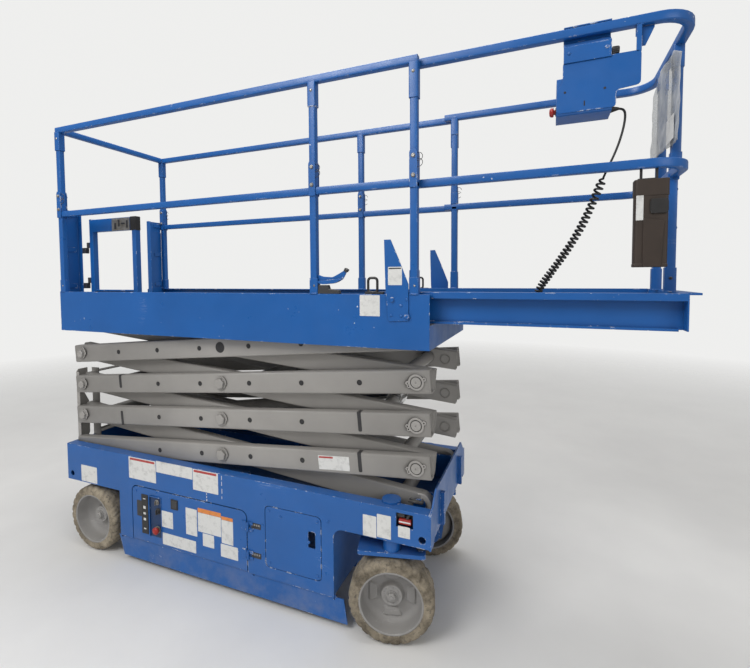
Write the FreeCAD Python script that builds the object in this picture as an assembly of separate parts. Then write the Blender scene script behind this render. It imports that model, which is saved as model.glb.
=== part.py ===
# Slab scissor lift with a roll-out deck, built as named pieces in millimetres.
# X runs along the machine, +X towards the steered wheels and the roll-out deck.
# Y runs across it, the side in view being -Y. Z is up, and the floor is Z = 0.
# X is counted from half way between the axles, and moved to the middle of the
# whole length when the pieces are written.

import FreeCAD, Part
import math
import os

V = FreeCAD.Vector

# Wheels
WHEELBASE = 1850.0
TYRE_RADIUS = 190.5
TYRE_WIDTH = 127.0
RIM_RADIUS = 143.0
RIM_WALL = 9.0
DISC_RECESS = 82.0
DISC_THICKNESS = 12.0
HUB_RADIUS = 46.0
STUB_RADIUS = 22.0
STEER_REST_DEG = 14.0

# Chassis
HALF_WIDTH = 405.0
CHASSIS_REAR = -1123.0
CHASSIS_FRONT = 1110.0
CHASSIS_TOP = 622.0
FRONT_OVERHANG_Z = 473.0
REAR_OVERHANG_Z = 405.0
BEAM_BOTTOM = 505.0
BEAM_WIDTH = 55.0
SKIRT_BOTTOM = 147.0
BAY_REAR = -690.0
BAY_FRONT = 667.0
ARCH_RADIUS = 45.0
PLATE = 6.0
SPINE_HALF = 130.0
SPINE_BOTTOM = 125.0
FRONT_PLATE_TOP = 690.0
FRONT_PLATE_HALF = 300.0
TIE_RADIUS = 16.0

# Swing-out trays, covers and pothole guards
DOOR_REAR = -588.0
DOOR_FRONT = 188.0
DOOR_TOP = 455.0
DOOR_BOTTOM = 152.0
DOOR_SHEET = 4.0
DOOR_CORNER = 40.0
DOOR_GAP = 5.0
TRAY_DEPTH = 190.0
HINGE_X = 200.0
HINGE_OUT = 7.5
HINGE_HALF = 22.0
HINGE_SPLIT = 8.0
HINGES_Z = (242.0, 387.0)
HINGE_RADIUS = 7.0
COVER_REAR = 300.0
COVER_FRONT = 603.0
COVER_TOP = 508.0
COVER_BOTTOM = 207.0
COVER_CORNER = 24.0
GUARD_TOP = 143.0
GUARD_BOTTOM = 30.0
GUARD_SHEET = 6.0
GUARD_Y = -HALF_WIDTH + 12.0
GUARD_AXIS_Z = 147.5
GUARD_ROD = 5.0
GUARD_TABS = (BAY_REAR, HINGE_X + 16, BAY_FRONT - PLATE)

# Scissor stack
LEVELS = 4
ARM_LENGTH = 2092.0
LEVEL_RISE = 187.5
PIN_FRONT_X = 1040.0
PIN_BASE_Z = 600.0
ARM_DEPTH = 104.0
ARM_WIDTH = 50.0
ARM_WALL = 5.0
ARM_END = 60.0
ARM_SIDE_GAP = 5.0
ARM_GAP = 6.0
OUTER_ARM_Y = HALF_WIDTH - BEAM_WIDTH - ARM_SIDE_GAP
INNER_ARM_Y = OUTER_ARM_Y - ARM_WIDTH - ARM_GAP
PIN_RADIUS = 20.0
PIN_PLAY = 0.3
CROSS_RADIUS = 30.0
CROSS_INSET = 92.0
CROSS_MIDDLE = 960.0
BLOCK_LENGTH = 90.0
BLOCK_HEIGHT = 52.0
BLOCK_PLAY = 1.0

# Lift cylinder between the first and third inner arms
CYL_LOW_LEVEL = 1
CYL_HIGH_LEVEL = 3
CYL_LOW_ALONG = ARM_LENGTH - 392.0
CYL_HIGH_ALONG = 200.0
CYL_SHAFT_RADIUS = 25.0
CYL_BARREL_RADIUS = 44.0
CYL_ROD_RADIUS = 25.0
CYL_EYE_WIDTH = 90.0
CYL_STUB_GAP = 6.0
CYL_ROD_SHOWN = 223.0

# Platform and roll-out deck
PLAT_REAR = -1140.0
PLAT_FRONT = 1110.0
PLAT_HALF = HALF_WIDTH - 5.0
PANEL_TOP = 1539.0
PANEL_BOTTOM = 1308.0
FLOOR_TOP = 1412.0
FLOOR_SHEET = 3.0
RIB_HALF = 232.0
SHEET = 5.0
RAIL = 32.0
RAIL_TOP_Z = 2487.0
RAIL_MID_Z = RAIL_TOP_Z - 489.0
RAIL_Y = PLAT_HALF - 16.0
RAIL_REAR_X = -1116.0
POST_MID_X = 577.0
POST_JOINT_X = 1043.0
FOLD_LOW_Z = RAIL_MID_Z - 38.0
WAY_NEAR = 280.0
WAY_FAR = 240.0
REAR_PANEL_TOP = RAIL_MID_Z + 31.0
REAR_FLANGE = 36.0
REAR_SHEET = 4.0
GATE_LENGTH = 390.0
GATE_TOP = RAIL_MID_Z - 23.0
GATE_BAR_DEPTH = 75.0
ROLL_OUT = 910.0
EXT_REAR = 870.0
EXT_FLANGE_FRONT = 1995.0
EXT_LIP_FRONT = 2050.0
EXT_TOP = 1548.0
EXT_BOTTOM = 1418.0
EXT_WEB_Y = PLAT_HALF - 100.0
EXT_RAIL_Y = PLAT_HALF - 58.0
EXT_RAIL_FRONT_X = 1985.0
EXT_CORNER = 110.0
EXT_REAR_POSTS = (1031.0, 1069.0)
EXT_POST_X = 1900.0
EXT_END_POST = (1943.0, 326.0)
GUIDE_REAR = EXT_REAR - ROLL_OUT - 20.0

LADDER_TOP = 1053.0
LADDER_HALF = INNER_ARM_Y - ARM_WIDTH - 13.0

SHIFT_X = -(EXT_LIP_FRONT + PLAT_REAR) / 2.0
LEAN = math.degrees(math.asin(LEVEL_RISE / ARM_LENGTH))
SPAN = ARM_LENGTH * math.cos(math.radians(LEAN))
PIN_REAR_X = PIN_FRONT_X - SPAN
PIN_MID_X = PIN_FRONT_X - SPAN / 2.0
PIN_TOP_Z = PIN_BASE_Z + LEVELS * LEVEL_RISE
AXLE_X = WHEELBASE / 2.0
WHEEL_Y = HALF_WIDTH - TYRE_WIDTH / 2.0

os.makedirs("parts", exist_ok=True)
written = []


def box(x0, x1, y0, y1, z0, z1):
    return Part.makeBox(x1 - x0, y1 - y0, z1 - z0, V(x0, y0, z0))


def rod_x(x0, x1, y, z, r):
    return Part.makeCylinder(r, x1 - x0, V(x0, y, z), V(1, 0, 0))


def rod_y(y0, y1, x, z, r):
    return Part.makeCylinder(r, y1 - y0, V(x, y0, z), V(0, 1, 0))


def rod_z(z0, z1, x, y, r):
    return Part.makeCylinder(r, z1 - z0, V(x, y, z0), V(0, 0, 1))


def join(*shapes):
    first, rest = shapes[0], list(shapes[1:])
    return first.multiFuse(rest).removeSplitter() if rest else first


def cut(shape, *tools):
    return shape.cut(list(tools))


def mirror_y(shape):
    return shape.mirror(V(0, 0, 0), V(0, 1, 0))


def turned(shape, centre, axis, degrees):
    copy = shape.copy()
    copy.rotate(centre, axis, degrees)
    return copy


def prism(points, lift):
    wire = Part.makePolygon(points + [points[0]])
    return Part.Face(wire).extrude(lift)


def plate_xz(points, y0, y1):
    return prism([V(x, y0, z) for x, z in points], V(0, y1 - y0, 0))


def plate_yz(points, x0, x1):
    return prism([V(x0, y, z) for y, z in points], V(x1 - x0, 0, 0))


def plate_xy(points, z0, z1):
    return prism([V(x, y, z0) for x, y in points], V(0, 0, z1 - z0))


def round_edges(shape, r, axis, keep):
    """Rounds the edges that run along one axis and whose middle passes keep."""
    edges = []
    for edge in shape.Edges:
        if len(edge.Vertexes) != 2:
            continue
        way = edge.Vertexes[1].Point.sub(edge.Vertexes[0].Point)
        middle = edge.CenterOfMass
        if way.Length > 0 and abs(way.dot(axis)) > 0.999 * way.Length and keep(middle):
            edges.append(edge)
    return shape.makeFillet(r, edges) if edges else shape


def rounded_box(x0, x1, y0, y1, z0, z1, r, axis):
    return round_edges(box(x0, x1, y0, y1, z0, z1), r, axis, lambda m: True)


def square_tube(x0, x1, y0, y1, z0, z1, wall, axis):
    """A rectangular tube, open at both ends along the axis named x, y or z."""
    ix, iy, iz = [(0 if axis == name else wall) for name in "xyz"]
    core = box(x0 + ix, x1 - ix, y0 + iy, y1 - iy, z0 + iz, z1 - iz)
    return cut(box(x0, x1, y0, y1, z0, z1), core)


def save(name, *solids):
    shape = Part.makeCompound(list(solids)) if len(solids) > 1 else solids[0]
    shape = shape.copy()
    shape.translate(V(SHIFT_X, 0, 0))
    shape.exportStep("parts/%s.step" % name)
    written.append(name)


# Wheels: a solid tyre on a deep dished rim, and the disc with its hub
def tyre(x, y_out):
    """The tyre's section turned about its axle, outer face at y_out."""
    half = TYRE_WIDTH / 2.0
    shoulder = 14.0
    section = [(-half, RIM_RADIUS), (-half, TYRE_RADIUS - shoulder), (-half + 5, TYRE_RADIUS - 5),
               (-half + shoulder, TYRE_RADIUS), (half - shoulder, TYRE_RADIUS),
               (half - 5, TYRE_RADIUS - 5), (half, TYRE_RADIUS - shoulder), (half, RIM_RADIUS)]
    face = Part.Face(Part.makePolygon([V(0, y, r) for y, r in section + section[:1]]))
    solid = face.revolve(V(0, 0, 0), V(0, 1, 0), 360)
    solid.translate(V(x, y_out + half, TYRE_RADIUS))
    return solid


def rim(x, y_out, windows):
    """Barrel, recessed disc and hub, for a wheel whose outer face looks to -Y."""
    lip = 6.0
    disc = DISC_RECESS
    section = [(0, RIM_RADIUS), (0, RIM_RADIUS - RIM_WALL), (lip, RIM_RADIUS - RIM_WALL),
               (disc - 22, RIM_RADIUS - RIM_WALL - 4), (disc, RIM_RADIUS - RIM_WALL - 26),
               (disc, HUB_RADIUS + 10), (disc - 26, HUB_RADIUS), (disc - 26, STUB_RADIUS + 0.4),
               (disc + DISC_THICKNESS, STUB_RADIUS + 0.4), (disc + DISC_THICKNESS, RIM_RADIUS - 24),
               (disc - 6, RIM_RADIUS - RIM_WALL + 2), (TYRE_WIDTH, RIM_RADIUS - RIM_WALL),
               (TYRE_WIDTH, RIM_RADIUS)]
    face = Part.Face(Part.makePolygon([V(0, y, r) for y, r in section + section[:1]]))
    solid = face.revolve(V(0, 0, 0), V(0, 1, 0), 360)
    if windows:
        pads = []
        inner, outer = HUB_RADIUS + 17.0, RIM_RADIUS - 44.0
        for i in range(4):
            pad = prism([V(-22, disc - 6, inner), V(22, disc - 6, inner),
                         V(36, disc - 6, outer), V(-36, disc - 6, outer)], V(0, 8, 0))
            pads.append(turned(pad, V(0, 0, 0), V(0, 1, 0), 45 + 90 * i))
        solid = join(solid, *pads)
    solid.translate(V(x, y_out, TYRE_RADIUS))
    return solid


def steered(shape, side):
    """Turns a straight front piece about its kingpin to the parked angle."""
    return turned(shape, V(AXLE_X, side * WHEEL_Y, 0), V(0, 0, 1), STEER_REST_DEG)


near_tyre_f = tyre(AXLE_X, -HALF_WIDTH)
near_rim_f = rim(AXLE_X, -HALF_WIDTH, True)
near_tyre_r = tyre(-AXLE_X, -HALF_WIDTH)
near_rim_r = rim(-AXLE_X, -HALF_WIDTH, False)
save("near_front_tyre", steered(near_tyre_f, -1))
save("near_front_rim", steered(near_rim_f, -1))
save("far_front_tyre", steered(mirror_y(near_tyre_f), 1))
save("far_front_rim", steered(mirror_y(near_rim_f), 1))
save("near_rear_tyre", near_tyre_r)
save("near_rear_rim", near_rim_r)
save("far_rear_tyre", mirror_y(near_tyre_r))
save("far_rear_rim", mirror_y(near_rim_r))


# Steering yokes: kingpin, top plate over the tyre, inner leg, motor and stub
YOKE_PLATE_Z = 388.0
YOKE_PLATE = 18.0
YOKE_LENGTH = 150.0
YOKE_LEG_GAP = 14.0
YOKE_LEG = 14.0
KINGPIN_RADIUS = 30.0
KINGPIN_COLLAR = 38.0
KINGPIN_TOP = CHASSIS_TOP - 4.0
LINK_ARM = 130.0
LINK_PIN_RADIUS = 12.0
LINK_Z = 418.0
LINK_DEPTH = 22.0


def yoke():
    leg_out = -(WHEEL_Y - TYRE_WIDTH / 2.0 - YOKE_LEG_GAP)
    leg_in = leg_out + YOKE_LEG
    top = box(AXLE_X - YOKE_LENGTH, AXLE_X + YOKE_LENGTH, -HALF_WIDTH + 22, leg_in,
              YOKE_PLATE_Z, YOKE_PLATE_Z + YOKE_PLATE)
    top = round_edges(top, 12, V(0, 0, 1), lambda m: True)
    leg = plate_xz([(AXLE_X - 110, YOKE_PLATE_Z + 2), (AXLE_X + 110, YOKE_PLATE_Z + 2),
                    (AXLE_X + 70, TYRE_RADIUS - 60), (AXLE_X - 70, TYRE_RADIUS - 60)], leg_out, leg_in)
    motor = rod_y(leg_in - 1, leg_in + 62, AXLE_X, TYRE_RADIUS, 58)
    port = box(AXLE_X - 28, AXLE_X + 28, leg_in + 50, leg_in + 78, TYRE_RADIUS - 30, TYRE_RADIUS + 40)
    stub = rod_y(-HALF_WIDTH + DISC_RECESS - 22, leg_out + 1, AXLE_X, TYRE_RADIUS, STUB_RADIUS)
    flange = rod_y(-HALF_WIDTH + DISC_RECESS + DISC_THICKNESS + 2, leg_out + 1, AXLE_X, TYRE_RADIUS, 60)
    collar_top = FRONT_OVERHANG_Z - 6
    collar = rod_z(YOKE_PLATE_Z + YOKE_PLATE - 1, collar_top, AXLE_X, -WHEEL_Y, KINGPIN_COLLAR)
    pin = rod_z(collar_top - 1, KINGPIN_TOP, AXLE_X, -WHEEL_Y, KINGPIN_RADIUS)
    link_pin = rod_z(YOKE_PLATE_Z + YOKE_PLATE - 1, LINK_Z + LINK_DEPTH + 6, AXLE_X + LINK_ARM,
                     -WHEEL_Y, LINK_PIN_RADIUS)
    return join(top, leg, motor, port, stub, flange, collar, pin, link_pin)


near_yoke = yoke()
save("near_yoke", steered(near_yoke, -1))
save("far_yoke", steered(mirror_y(near_yoke), 1))

# The track rod joins both yokes and stays square across the machine as they turn
swing = math.radians(STEER_REST_DEG)
rod_x0 = AXLE_X + LINK_ARM * math.cos(swing)
rod_dy = LINK_ARM * math.sin(swing)
track_rod = box(rod_x0 - 13, rod_x0 + 13, -WHEEL_Y + rod_dy, WHEEL_Y + rod_dy, LINK_Z, LINK_Z + LINK_DEPTH)
eyes = [rod_z(LINK_Z, LINK_Z + LINK_DEPTH, rod_x0, s * WHEEL_Y + rod_dy, LINK_PIN_RADIUS + 11)
        for s in (-1, 1)]
holes = [rod_z(LINK_Z - 1, LINK_Z + LINK_DEPTH + 1, rod_x0, s * WHEEL_Y + rod_dy,
               LINK_PIN_RADIUS + PIN_PLAY) for s in (-1, 1)]
save("track_rod", cut(join(track_rod, *eyes), *holes))


# Chassis: side walls with their openings, beams, deck, spine, bulkheads
def side_wall():
    """The near side's wall plate, with its wheel arches and its two openings."""
    y0, y1 = -HALF_WIDTH, -HALF_WIDTH + PLATE
    outline = [(CHASSIS_REAR, CHASSIS_TOP), (CHASSIS_FRONT, CHASSIS_TOP), (CHASSIS_FRONT, FRONT_OVERHANG_Z),
               (BAY_FRONT, FRONT_OVERHANG_Z), (BAY_FRONT, SKIRT_BOTTOM), (BAY_REAR, SKIRT_BOTTOM),
               (BAY_REAR, REAR_OVERHANG_Z), (CHASSIS_REAR, REAR_OVERHANG_Z)]
    wall = plate_xz(outline, y0, y1)
    wall = round_edges(wall, ARCH_RADIUS, V(0, 1, 0), lambda m: abs(m.x - BAY_FRONT) < 1
                       and abs(m.z - FRONT_OVERHANG_Z) < 1)
    door = rounded_box(DOOR_REAR - DOOR_GAP, DOOR_FRONT + DOOR_GAP, y0 - 1, y1 + 1, SKIRT_BOTTOM - 1,
                       DOOR_TOP + DOOR_GAP, DOOR_CORNER, V(0, 1, 0))
    square = box(DOOR_REAR - DOOR_GAP, DOOR_FRONT + DOOR_GAP, y0 - 1, y1 + 1, SKIRT_BOTTOM - 1,
                 DOOR_TOP - DOOR_CORNER)
    cover = rounded_box(COVER_REAR - 3, COVER_FRONT + 3, y0 - 1, y1 + 1, COVER_BOTTOM - 3,
                        COVER_TOP - 3 + 6, COVER_CORNER, V(0, 1, 0))
    window = box(966, 1041, y0 - 1, y1 + 1, 546, 608)
    return cut(wall, door, square, cover, window)


def side_beam():
    """The hollow beam along the top of the near side, closed by its inner wall."""
    y0 = -HALF_WIDTH + PLATE
    y1 = -HALF_WIDTH + BEAM_WIDTH
    top = box(CHASSIS_REAR, CHASSIS_FRONT, y0 - 0.1, y1, CHASSIS_TOP - PLATE, CHASSIS_TOP)
    inner = box(CHASSIS_REAR, CHASSIS_FRONT, y1 - PLATE, y1, BEAM_BOTTOM, CHASSIS_TOP)
    bottom = box(CHASSIS_REAR, BAY_FRONT, y0 - 0.1, y1, BEAM_BOTTOM, BEAM_BOTTOM + PLATE)
    return [top, inner, bottom]


def bulkheads():
    y0, y1 = -HALF_WIDTH + PLATE - 1, -SPINE_HALF + 1
    rear = box(BAY_REAR, BAY_REAR + PLATE, y0, y1, SKIRT_BOTTOM + 8, BEAM_BOTTOM + 1)
    post = box(HINGE_X + 16, HINGE_X + 22, y0, y1, SKIRT_BOTTOM + 8, BEAM_BOTTOM + 1)
    front = box(BAY_FRONT - PLATE, BAY_FRONT, y0, y1, SKIRT_BOTTOM + 8, BEAM_BOTTOM + 1)
    return [rear, post, front]


def cover_rim():
    """A ledge inside the cover's opening, which the cover is bolted to."""
    y0 = -HALF_WIDTH + PLATE
    ring = box(COVER_REAR - 12, COVER_FRONT + 12, y0 - 0.5, y0 + 4, COVER_BOTTOM - 12, COVER_TOP - 4)
    return cut(ring, box(COVER_REAR + 12, COVER_FRONT - 12, y0 - 2, y0 + 6, COVER_BOTTOM + 12,
                         COVER_TOP - 28))


def tray_knuckles():
    y0 = -HALF_WIDTH
    out = []
    for z in HINGES_Z:
        for a, b in ((-HINGE_HALF, -HINGE_SPLIT - 0.5), (HINGE_SPLIT + 0.5, HINGE_HALF)):
            out.append(rod_z(z + a, z + b, HINGE_X, y0 - HINGE_OUT, HINGE_RADIUS))
            out.append(box(HINGE_X, HINGE_X + 28, y0 - 5, y0 + 1, z + a, z + b))
    return out


def guard_tabs():
    out = []
    for x in GUARD_TABS:
        tab = box(x, x + PLATE, GUARD_Y - 7, GUARD_Y + 9, GUARD_AXIS_Z - 8, SKIRT_BOTTOM + 12)
        out.append(cut(tab, rod_x(x - 1, x + PLATE + 1, GUARD_Y, GUARD_AXIS_Z, GUARD_ROD + PIN_PLAY)))
    return out


def kingpin_housing():
    outer = rod_z(FRONT_OVERHANG_Z, CHASSIS_TOP + 10, AXLE_X, -WHEEL_Y, KINGPIN_RADIUS + 12)
    bore = rod_z(FRONT_OVERHANG_Z - 1, KINGPIN_TOP + 2, AXLE_X, -WHEEL_Y, KINGPIN_RADIUS + PIN_PLAY)
    return outer, bore


side = [side_wall()] + side_beam() + bulkheads() + [cover_rim()] + tray_knuckles() + guard_tabs()
housing, king_bore = kingpin_housing()
half = side + [housing]
pieces = half + [mirror_y(s) for s in half]
beam_inner = HALF_WIDTH - BEAM_WIDTH + 1
deck = box(CHASSIS_REAR, CHASSIS_FRONT, -beam_inner, beam_inner, BEAM_BOTTOM - PLATE, BEAM_BOTTOM)
front_pan = box(BAY_FRONT - 1, CHASSIS_FRONT, -HALF_WIDTH + PLATE - 1, HALF_WIDTH - PLATE + 1,
                FRONT_OVERHANG_Z, FRONT_OVERHANG_Z + 10)
front_web = box(BAY_FRONT - PLATE, BAY_FRONT, -HALF_WIDTH + PLATE, HALF_WIDTH - PLATE, FRONT_OVERHANG_Z,
                BEAM_BOTTOM)
rear_pan = box(CHASSIS_REAR, BAY_REAR + PLATE, -HALF_WIDTH + PLATE - 1, HALF_WIDTH - PLATE + 1,
               REAR_OVERHANG_Z, REAR_OVERHANG_Z + PLATE)
rear_plate = box(CHASSIS_REAR, CHASSIS_REAR + PLATE, -HALF_WIDTH + 1, HALF_WIDTH - 1, REAR_OVERHANG_Z,
                 CHASSIS_TOP)
spine_walls = [box(BAY_REAR, BAY_FRONT, s * SPINE_HALF - PLATE / 2, s * SPINE_HALF + PLATE / 2,
                   SPINE_BOTTOM, BEAM_BOTTOM) for s in (-1, 1)]
spine_floor = box(BAY_REAR, BAY_FRONT, -SPINE_HALF, SPINE_HALF, SPINE_BOTTOM, SPINE_BOTTOM + PLATE)
spine_ends = [box(x, x + PLATE, -SPINE_HALF, SPINE_HALF, SPINE_BOTTOM, BEAM_BOTTOM)
              for x in (BAY_REAR, BAY_FRONT - PLATE)]
track_y0, track_y1 = INNER_ARM_Y - ARM_WIDTH - 3, INNER_ARM_Y - 1
track_top = PIN_BASE_Z - BLOCK_HEIGHT / 2.0 - BLOCK_PLAY
tracks = [cut(box(CHASSIS_REAR + 1, PIN_MID_X + 90, min(s * track_y0, s * track_y1),
                  max(s * track_y0, s * track_y1), BEAM_BOTTOM - 1, track_top),
              box(CHASSIS_REAR + 8, PIN_MID_X + 83, min(s * track_y0, s * track_y1) + 6,
                  max(s * track_y0, s * track_y1) - 6, BEAM_BOTTOM - 2, track_top - 8)) for s in (-1, 1)]
lug_y = INNER_ARM_Y - ARM_WIDTH - 6
lugs = []
for s in (-1, 1):
    lug = box(PIN_FRONT_X - 45, PIN_FRONT_X + 45,
              min(s * (lug_y - 14), s * lug_y), max(s * (lug_y - 14), s * lug_y),
              BEAM_BOTTOM - 1, PIN_BASE_Z + 34)
    pin = rod_y(min(s * (lug_y - 14), s * (INNER_ARM_Y + 8)), max(s * (lug_y - 14), s * (INNER_ARM_Y + 8)),
                PIN_FRONT_X, PIN_BASE_Z, PIN_RADIUS)
    head = rod_y(min(s * (INNER_ARM_Y + 1), s * (INNER_ARM_Y + 8)),
                 max(s * (INNER_ARM_Y + 1), s * (INNER_ARM_Y + 8)),
                 PIN_FRONT_X, PIN_BASE_Z, PIN_RADIUS + 8)
    lugs += [lug, pin, head]
frame = join(*(pieces + [deck, front_pan, front_web, rear_pan, rear_plate,
                         spine_floor] + spine_walls + spine_ends
               + tracks + lugs))
tie_holes = [rod_y(y, y + PLATE + 2, x, z, TIE_RADIUS)
             for y in (-HALF_WIDTH - 1, HALF_WIDTH - PLATE - 1) for x, z in
             ((CHASSIS_REAR + 40, REAR_OVERHANG_Z + 38), (CHASSIS_FRONT - 30, FRONT_OVERHANG_Z + 36))]
frame = cut(frame, king_bore, mirror_y(king_bore), *tie_holes)
save("chassis_frame", frame)

# Front plate with raised middle, an outer rib each side and low corner cuts
front = plate_yz([(-HALF_WIDTH, FRONT_OVERHANG_Z - 4), (-HALF_WIDTH + 45, FRONT_OVERHANG_Z - 4),
                  (-HALF_WIDTH + 70, FRONT_OVERHANG_Z + 22), (HALF_WIDTH - 70, FRONT_OVERHANG_Z + 22),
                  (HALF_WIDTH - 45, FRONT_OVERHANG_Z - 4), (HALF_WIDTH, FRONT_OVERHANG_Z - 4),
                  (HALF_WIDTH, CHASSIS_TOP), (HALF_WIDTH - 40, CHASSIS_TOP + 12),
                  (FRONT_PLATE_HALF, FRONT_PLATE_TOP), (-FRONT_PLATE_HALF, FRONT_PLATE_TOP),
                  (-HALF_WIDTH + 40, CHASSIS_TOP + 12), (-HALF_WIDTH, CHASSIS_TOP)],
                 CHASSIS_FRONT, CHASSIS_FRONT + 8)
ribs = [box(CHASSIS_FRONT + 7, CHASSIS_FRONT + 26, s * 215 - 12, s * 215 + 12, FRONT_OVERHANG_Z + 22,
            CHASSIS_TOP + 20) for s in (-1, 1)]
save("front_plate", join(front, *ribs))

# Covers in front of the trays, with a finger slot
cover = rounded_box(COVER_REAR, COVER_FRONT, -HALF_WIDTH, -HALF_WIDTH + PLATE - 0.8, COVER_BOTTOM, COVER_TOP,
                    COVER_CORNER, V(0, 1, 0))
slot = rounded_box(536, 574, -HALF_WIDTH - 1, -HALF_WIDTH + PLATE + 1, 352, 432, 8, V(0, 1, 0))
cover = cut(cover, slot)
save("side_covers", cover, mirror_y(cover))

# Rear axle: beam between the rear wheels, brake drums and stubs
beam = box(-AXLE_X - 45, -AXLE_X + 45, -232, 232, TYRE_RADIUS - 45, TYRE_RADIUS + 45)
stands = [box(-AXLE_X - 60, -AXLE_X + 60, s * 190 - 12, s * 190 + 12, TYRE_RADIUS, REAR_OVERHANG_Z)
          for s in (-1, 1)]
drums = []
for s in (-1, 1):
    inner, outer = 228, HALF_WIDTH - DISC_RECESS - DISC_THICKNESS - 2
    drums.append(rod_y(min(s * inner, s * outer), max(s * inner, s * outer), -AXLE_X, TYRE_RADIUS, 72))
    tip = HALF_WIDTH - DISC_RECESS + 22
    drums.append(rod_y(min(s * outer, s * tip), max(s * outer, s * tip), -AXLE_X, TYRE_RADIUS, STUB_RADIUS))
save("rear_axle", join(beam, *(stands + drums)))


# Entry ladder at the rear: two cheeks and four treads
def cheek(s):
    y = s * LADDER_HALF
    outline = [(CHASSIS_REAR, LADDER_TOP), (CHASSIS_REAR + 60, LADDER_TOP),
               (CHASSIS_REAR + 60, CHASSIS_TOP - 40),
               (CHASSIS_REAR, CHASSIS_TOP - 40)]
    return plate_xz(outline, y - 3, y + 3)


ladder = [cheek(-1), cheek(1)]
for k in range(4):
    z = 640 + k * 130
    ladder.append(box(CHASSIS_REAR + 4, CHASSIS_REAR + 56, -LADDER_HALF, LADDER_HALF, z, z + 4))
foot_half = LADDER_HALF + 3
ladder.append(box(CHASSIS_REAR, CHASSIS_REAR + 5, -foot_half, foot_half, CHASSIS_TOP + 0.3, CHASSIS_TOP + 30))
below = box(CHASSIS_REAR - 1, CHASSIS_REAR + 70, -foot_half - 31, foot_half + 31, 0, CHASSIS_TOP + 0.3)
save("entry_ladder", join(*ladder).cut(below))


# Swing-out trays: door sheet, shelf and end walls
def tray():
    y0, y1 = -HALF_WIDTH, -HALF_WIDTH + DOOR_SHEET
    sheet = rounded_box(DOOR_REAR, DOOR_FRONT, y0, y1, DOOR_BOTTOM, DOOR_TOP, DOOR_CORNER - DOOR_GAP,
                        V(0, 1, 0))
    square = box(DOOR_REAR, DOOR_FRONT, y0, y1, DOOR_BOTTOM, DOOR_TOP - DOOR_CORNER)
    shelf = box(DOOR_REAR + 50, DOOR_FRONT - 20, y1 - 1, y1 + TRAY_DEPTH, DOOR_BOTTOM + 12, DOOR_BOTTOM + 16)
    ends = [box(x, x + 4, y1 - 1, y1 + TRAY_DEPTH, DOOR_BOTTOM + 12, DOOR_BOTTOM + 80)
            for x in (DOOR_REAR + 50, DOOR_FRONT - 24)]
    hinge = []
    for z in HINGES_Z:
        hinge.append(rod_z(z - HINGE_SPLIT, z + HINGE_SPLIT, HINGE_X, y0 - HINGE_OUT, HINGE_RADIUS))
        hinge.append(box(DOOR_FRONT - 26, HINGE_X, y0 - 5, y0 - 0.6, z - HINGE_SPLIT, z + HINGE_SPLIT))
        hinge.append(box(DOOR_FRONT - 26, DOOR_FRONT, y0 - 5, y0 + 1, z - HINGE_HALF, z + HINGE_HALF))
    return join(sheet, square, shelf, *(ends + hinge))


near_tray = tray()
save("near_tray", near_tray)
save("far_tray", mirror_y(near_tray))
shelf_top = DOOR_BOTTOM + 16
in_y0 = -HALF_WIDTH + DOOR_SHEET + 8
tank = rounded_box(DOOR_REAR + 70, DOOR_REAR + 330, in_y0, in_y0 + 165, shelf_top, shelf_top + 190, 20,
                   V(0, 0, 1))
motor = rod_x(DOOR_REAR + 332, DOOR_REAR + 560, in_y0 + 80, shelf_top + 70, 62)
foot = box(DOOR_REAR + 329, DOOR_REAR + 540, in_y0 + 40, in_y0 + 120, shelf_top, shelf_top + 30)
save("pump_unit", join(tank, motor, foot))
battery = []
for k in range(2):
    x0 = DOOR_REAR + 80 + k * 275
    battery.append(rounded_box(x0, x0 + 262, -in_y0 - 178, -in_y0, shelf_top, shelf_top + 268, 10,
                               V(0, 0, 1)))
save("batteries", *battery)

# Ground controls set in the near tray's door
panel = box(-560, -374, -HALF_WIDTH - 5, -HALF_WIDTH, 192, 432)
recess = box(-452, -380, -HALF_WIDTH - 6, -HALF_WIDTH - 2, 198, 426)
key = rod_y(-HALF_WIDTH - 12, -HALF_WIDTH - 1, -416, 390, 13)
stop = rod_y(-HALF_WIDTH - 20, -HALF_WIDTH - 1, -416, 238, 17)
save("ground_controls", join(cut(panel, recess), key, stop))

# Pothole guards: plates hung on a long rod under the trays, which fold inwards
half_sheet = GUARD_SHEET / 2.0
guard = plate_xz([(-712, GUARD_TOP), (712, GUARD_TOP), (730, GUARD_BOTTOM), (-675, GUARD_BOTTOM)],
                 GUARD_Y - half_sheet, GUARD_Y + half_sheet)
hung = box(BAY_REAR + 8, BAY_FRONT - 8, GUARD_Y - half_sheet, GUARD_Y + half_sheet, GUARD_TOP - 1,
           GUARD_AXIS_Z)
notches = [box(x - 2, x + PLATE + 2, GUARD_Y - 8, GUARD_Y + 8, GUARD_AXIS_Z - 16, GUARD_AXIS_Z + 1)
           for x in GUARD_TABS]
guard = join(cut(join(guard, hung), *notches),
             rod_x(BAY_REAR - 6, BAY_FRONT + 6, GUARD_Y, GUARD_AXIS_Z, GUARD_ROD))
save("near_guard", guard)
save("far_guard", mirror_y(guard))


# Scissor arms
def arm_tube(y0, y1, round_left, round_right):
    """One arm lying along X about its middle pin, open at square ends."""
    half_len = ARM_LENGTH / 2.0 + ARM_END
    half_dep = ARM_DEPTH / 2.0
    x0 = -half_len if not round_left else -ARM_LENGTH / 2.0
    x1 = half_len if not round_right else ARM_LENGTH / 2.0
    tube = square_tube(x0, x1, y0, y1, -half_dep, half_dep, ARM_WALL, "x")
    for flag, x in ((round_left, -ARM_LENGTH / 2.0), (round_right, ARM_LENGTH / 2.0)):
        if flag:
            tube = join(tube, rod_y(y0, y1, x, 0, half_dep - 1))
    return tube


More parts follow.
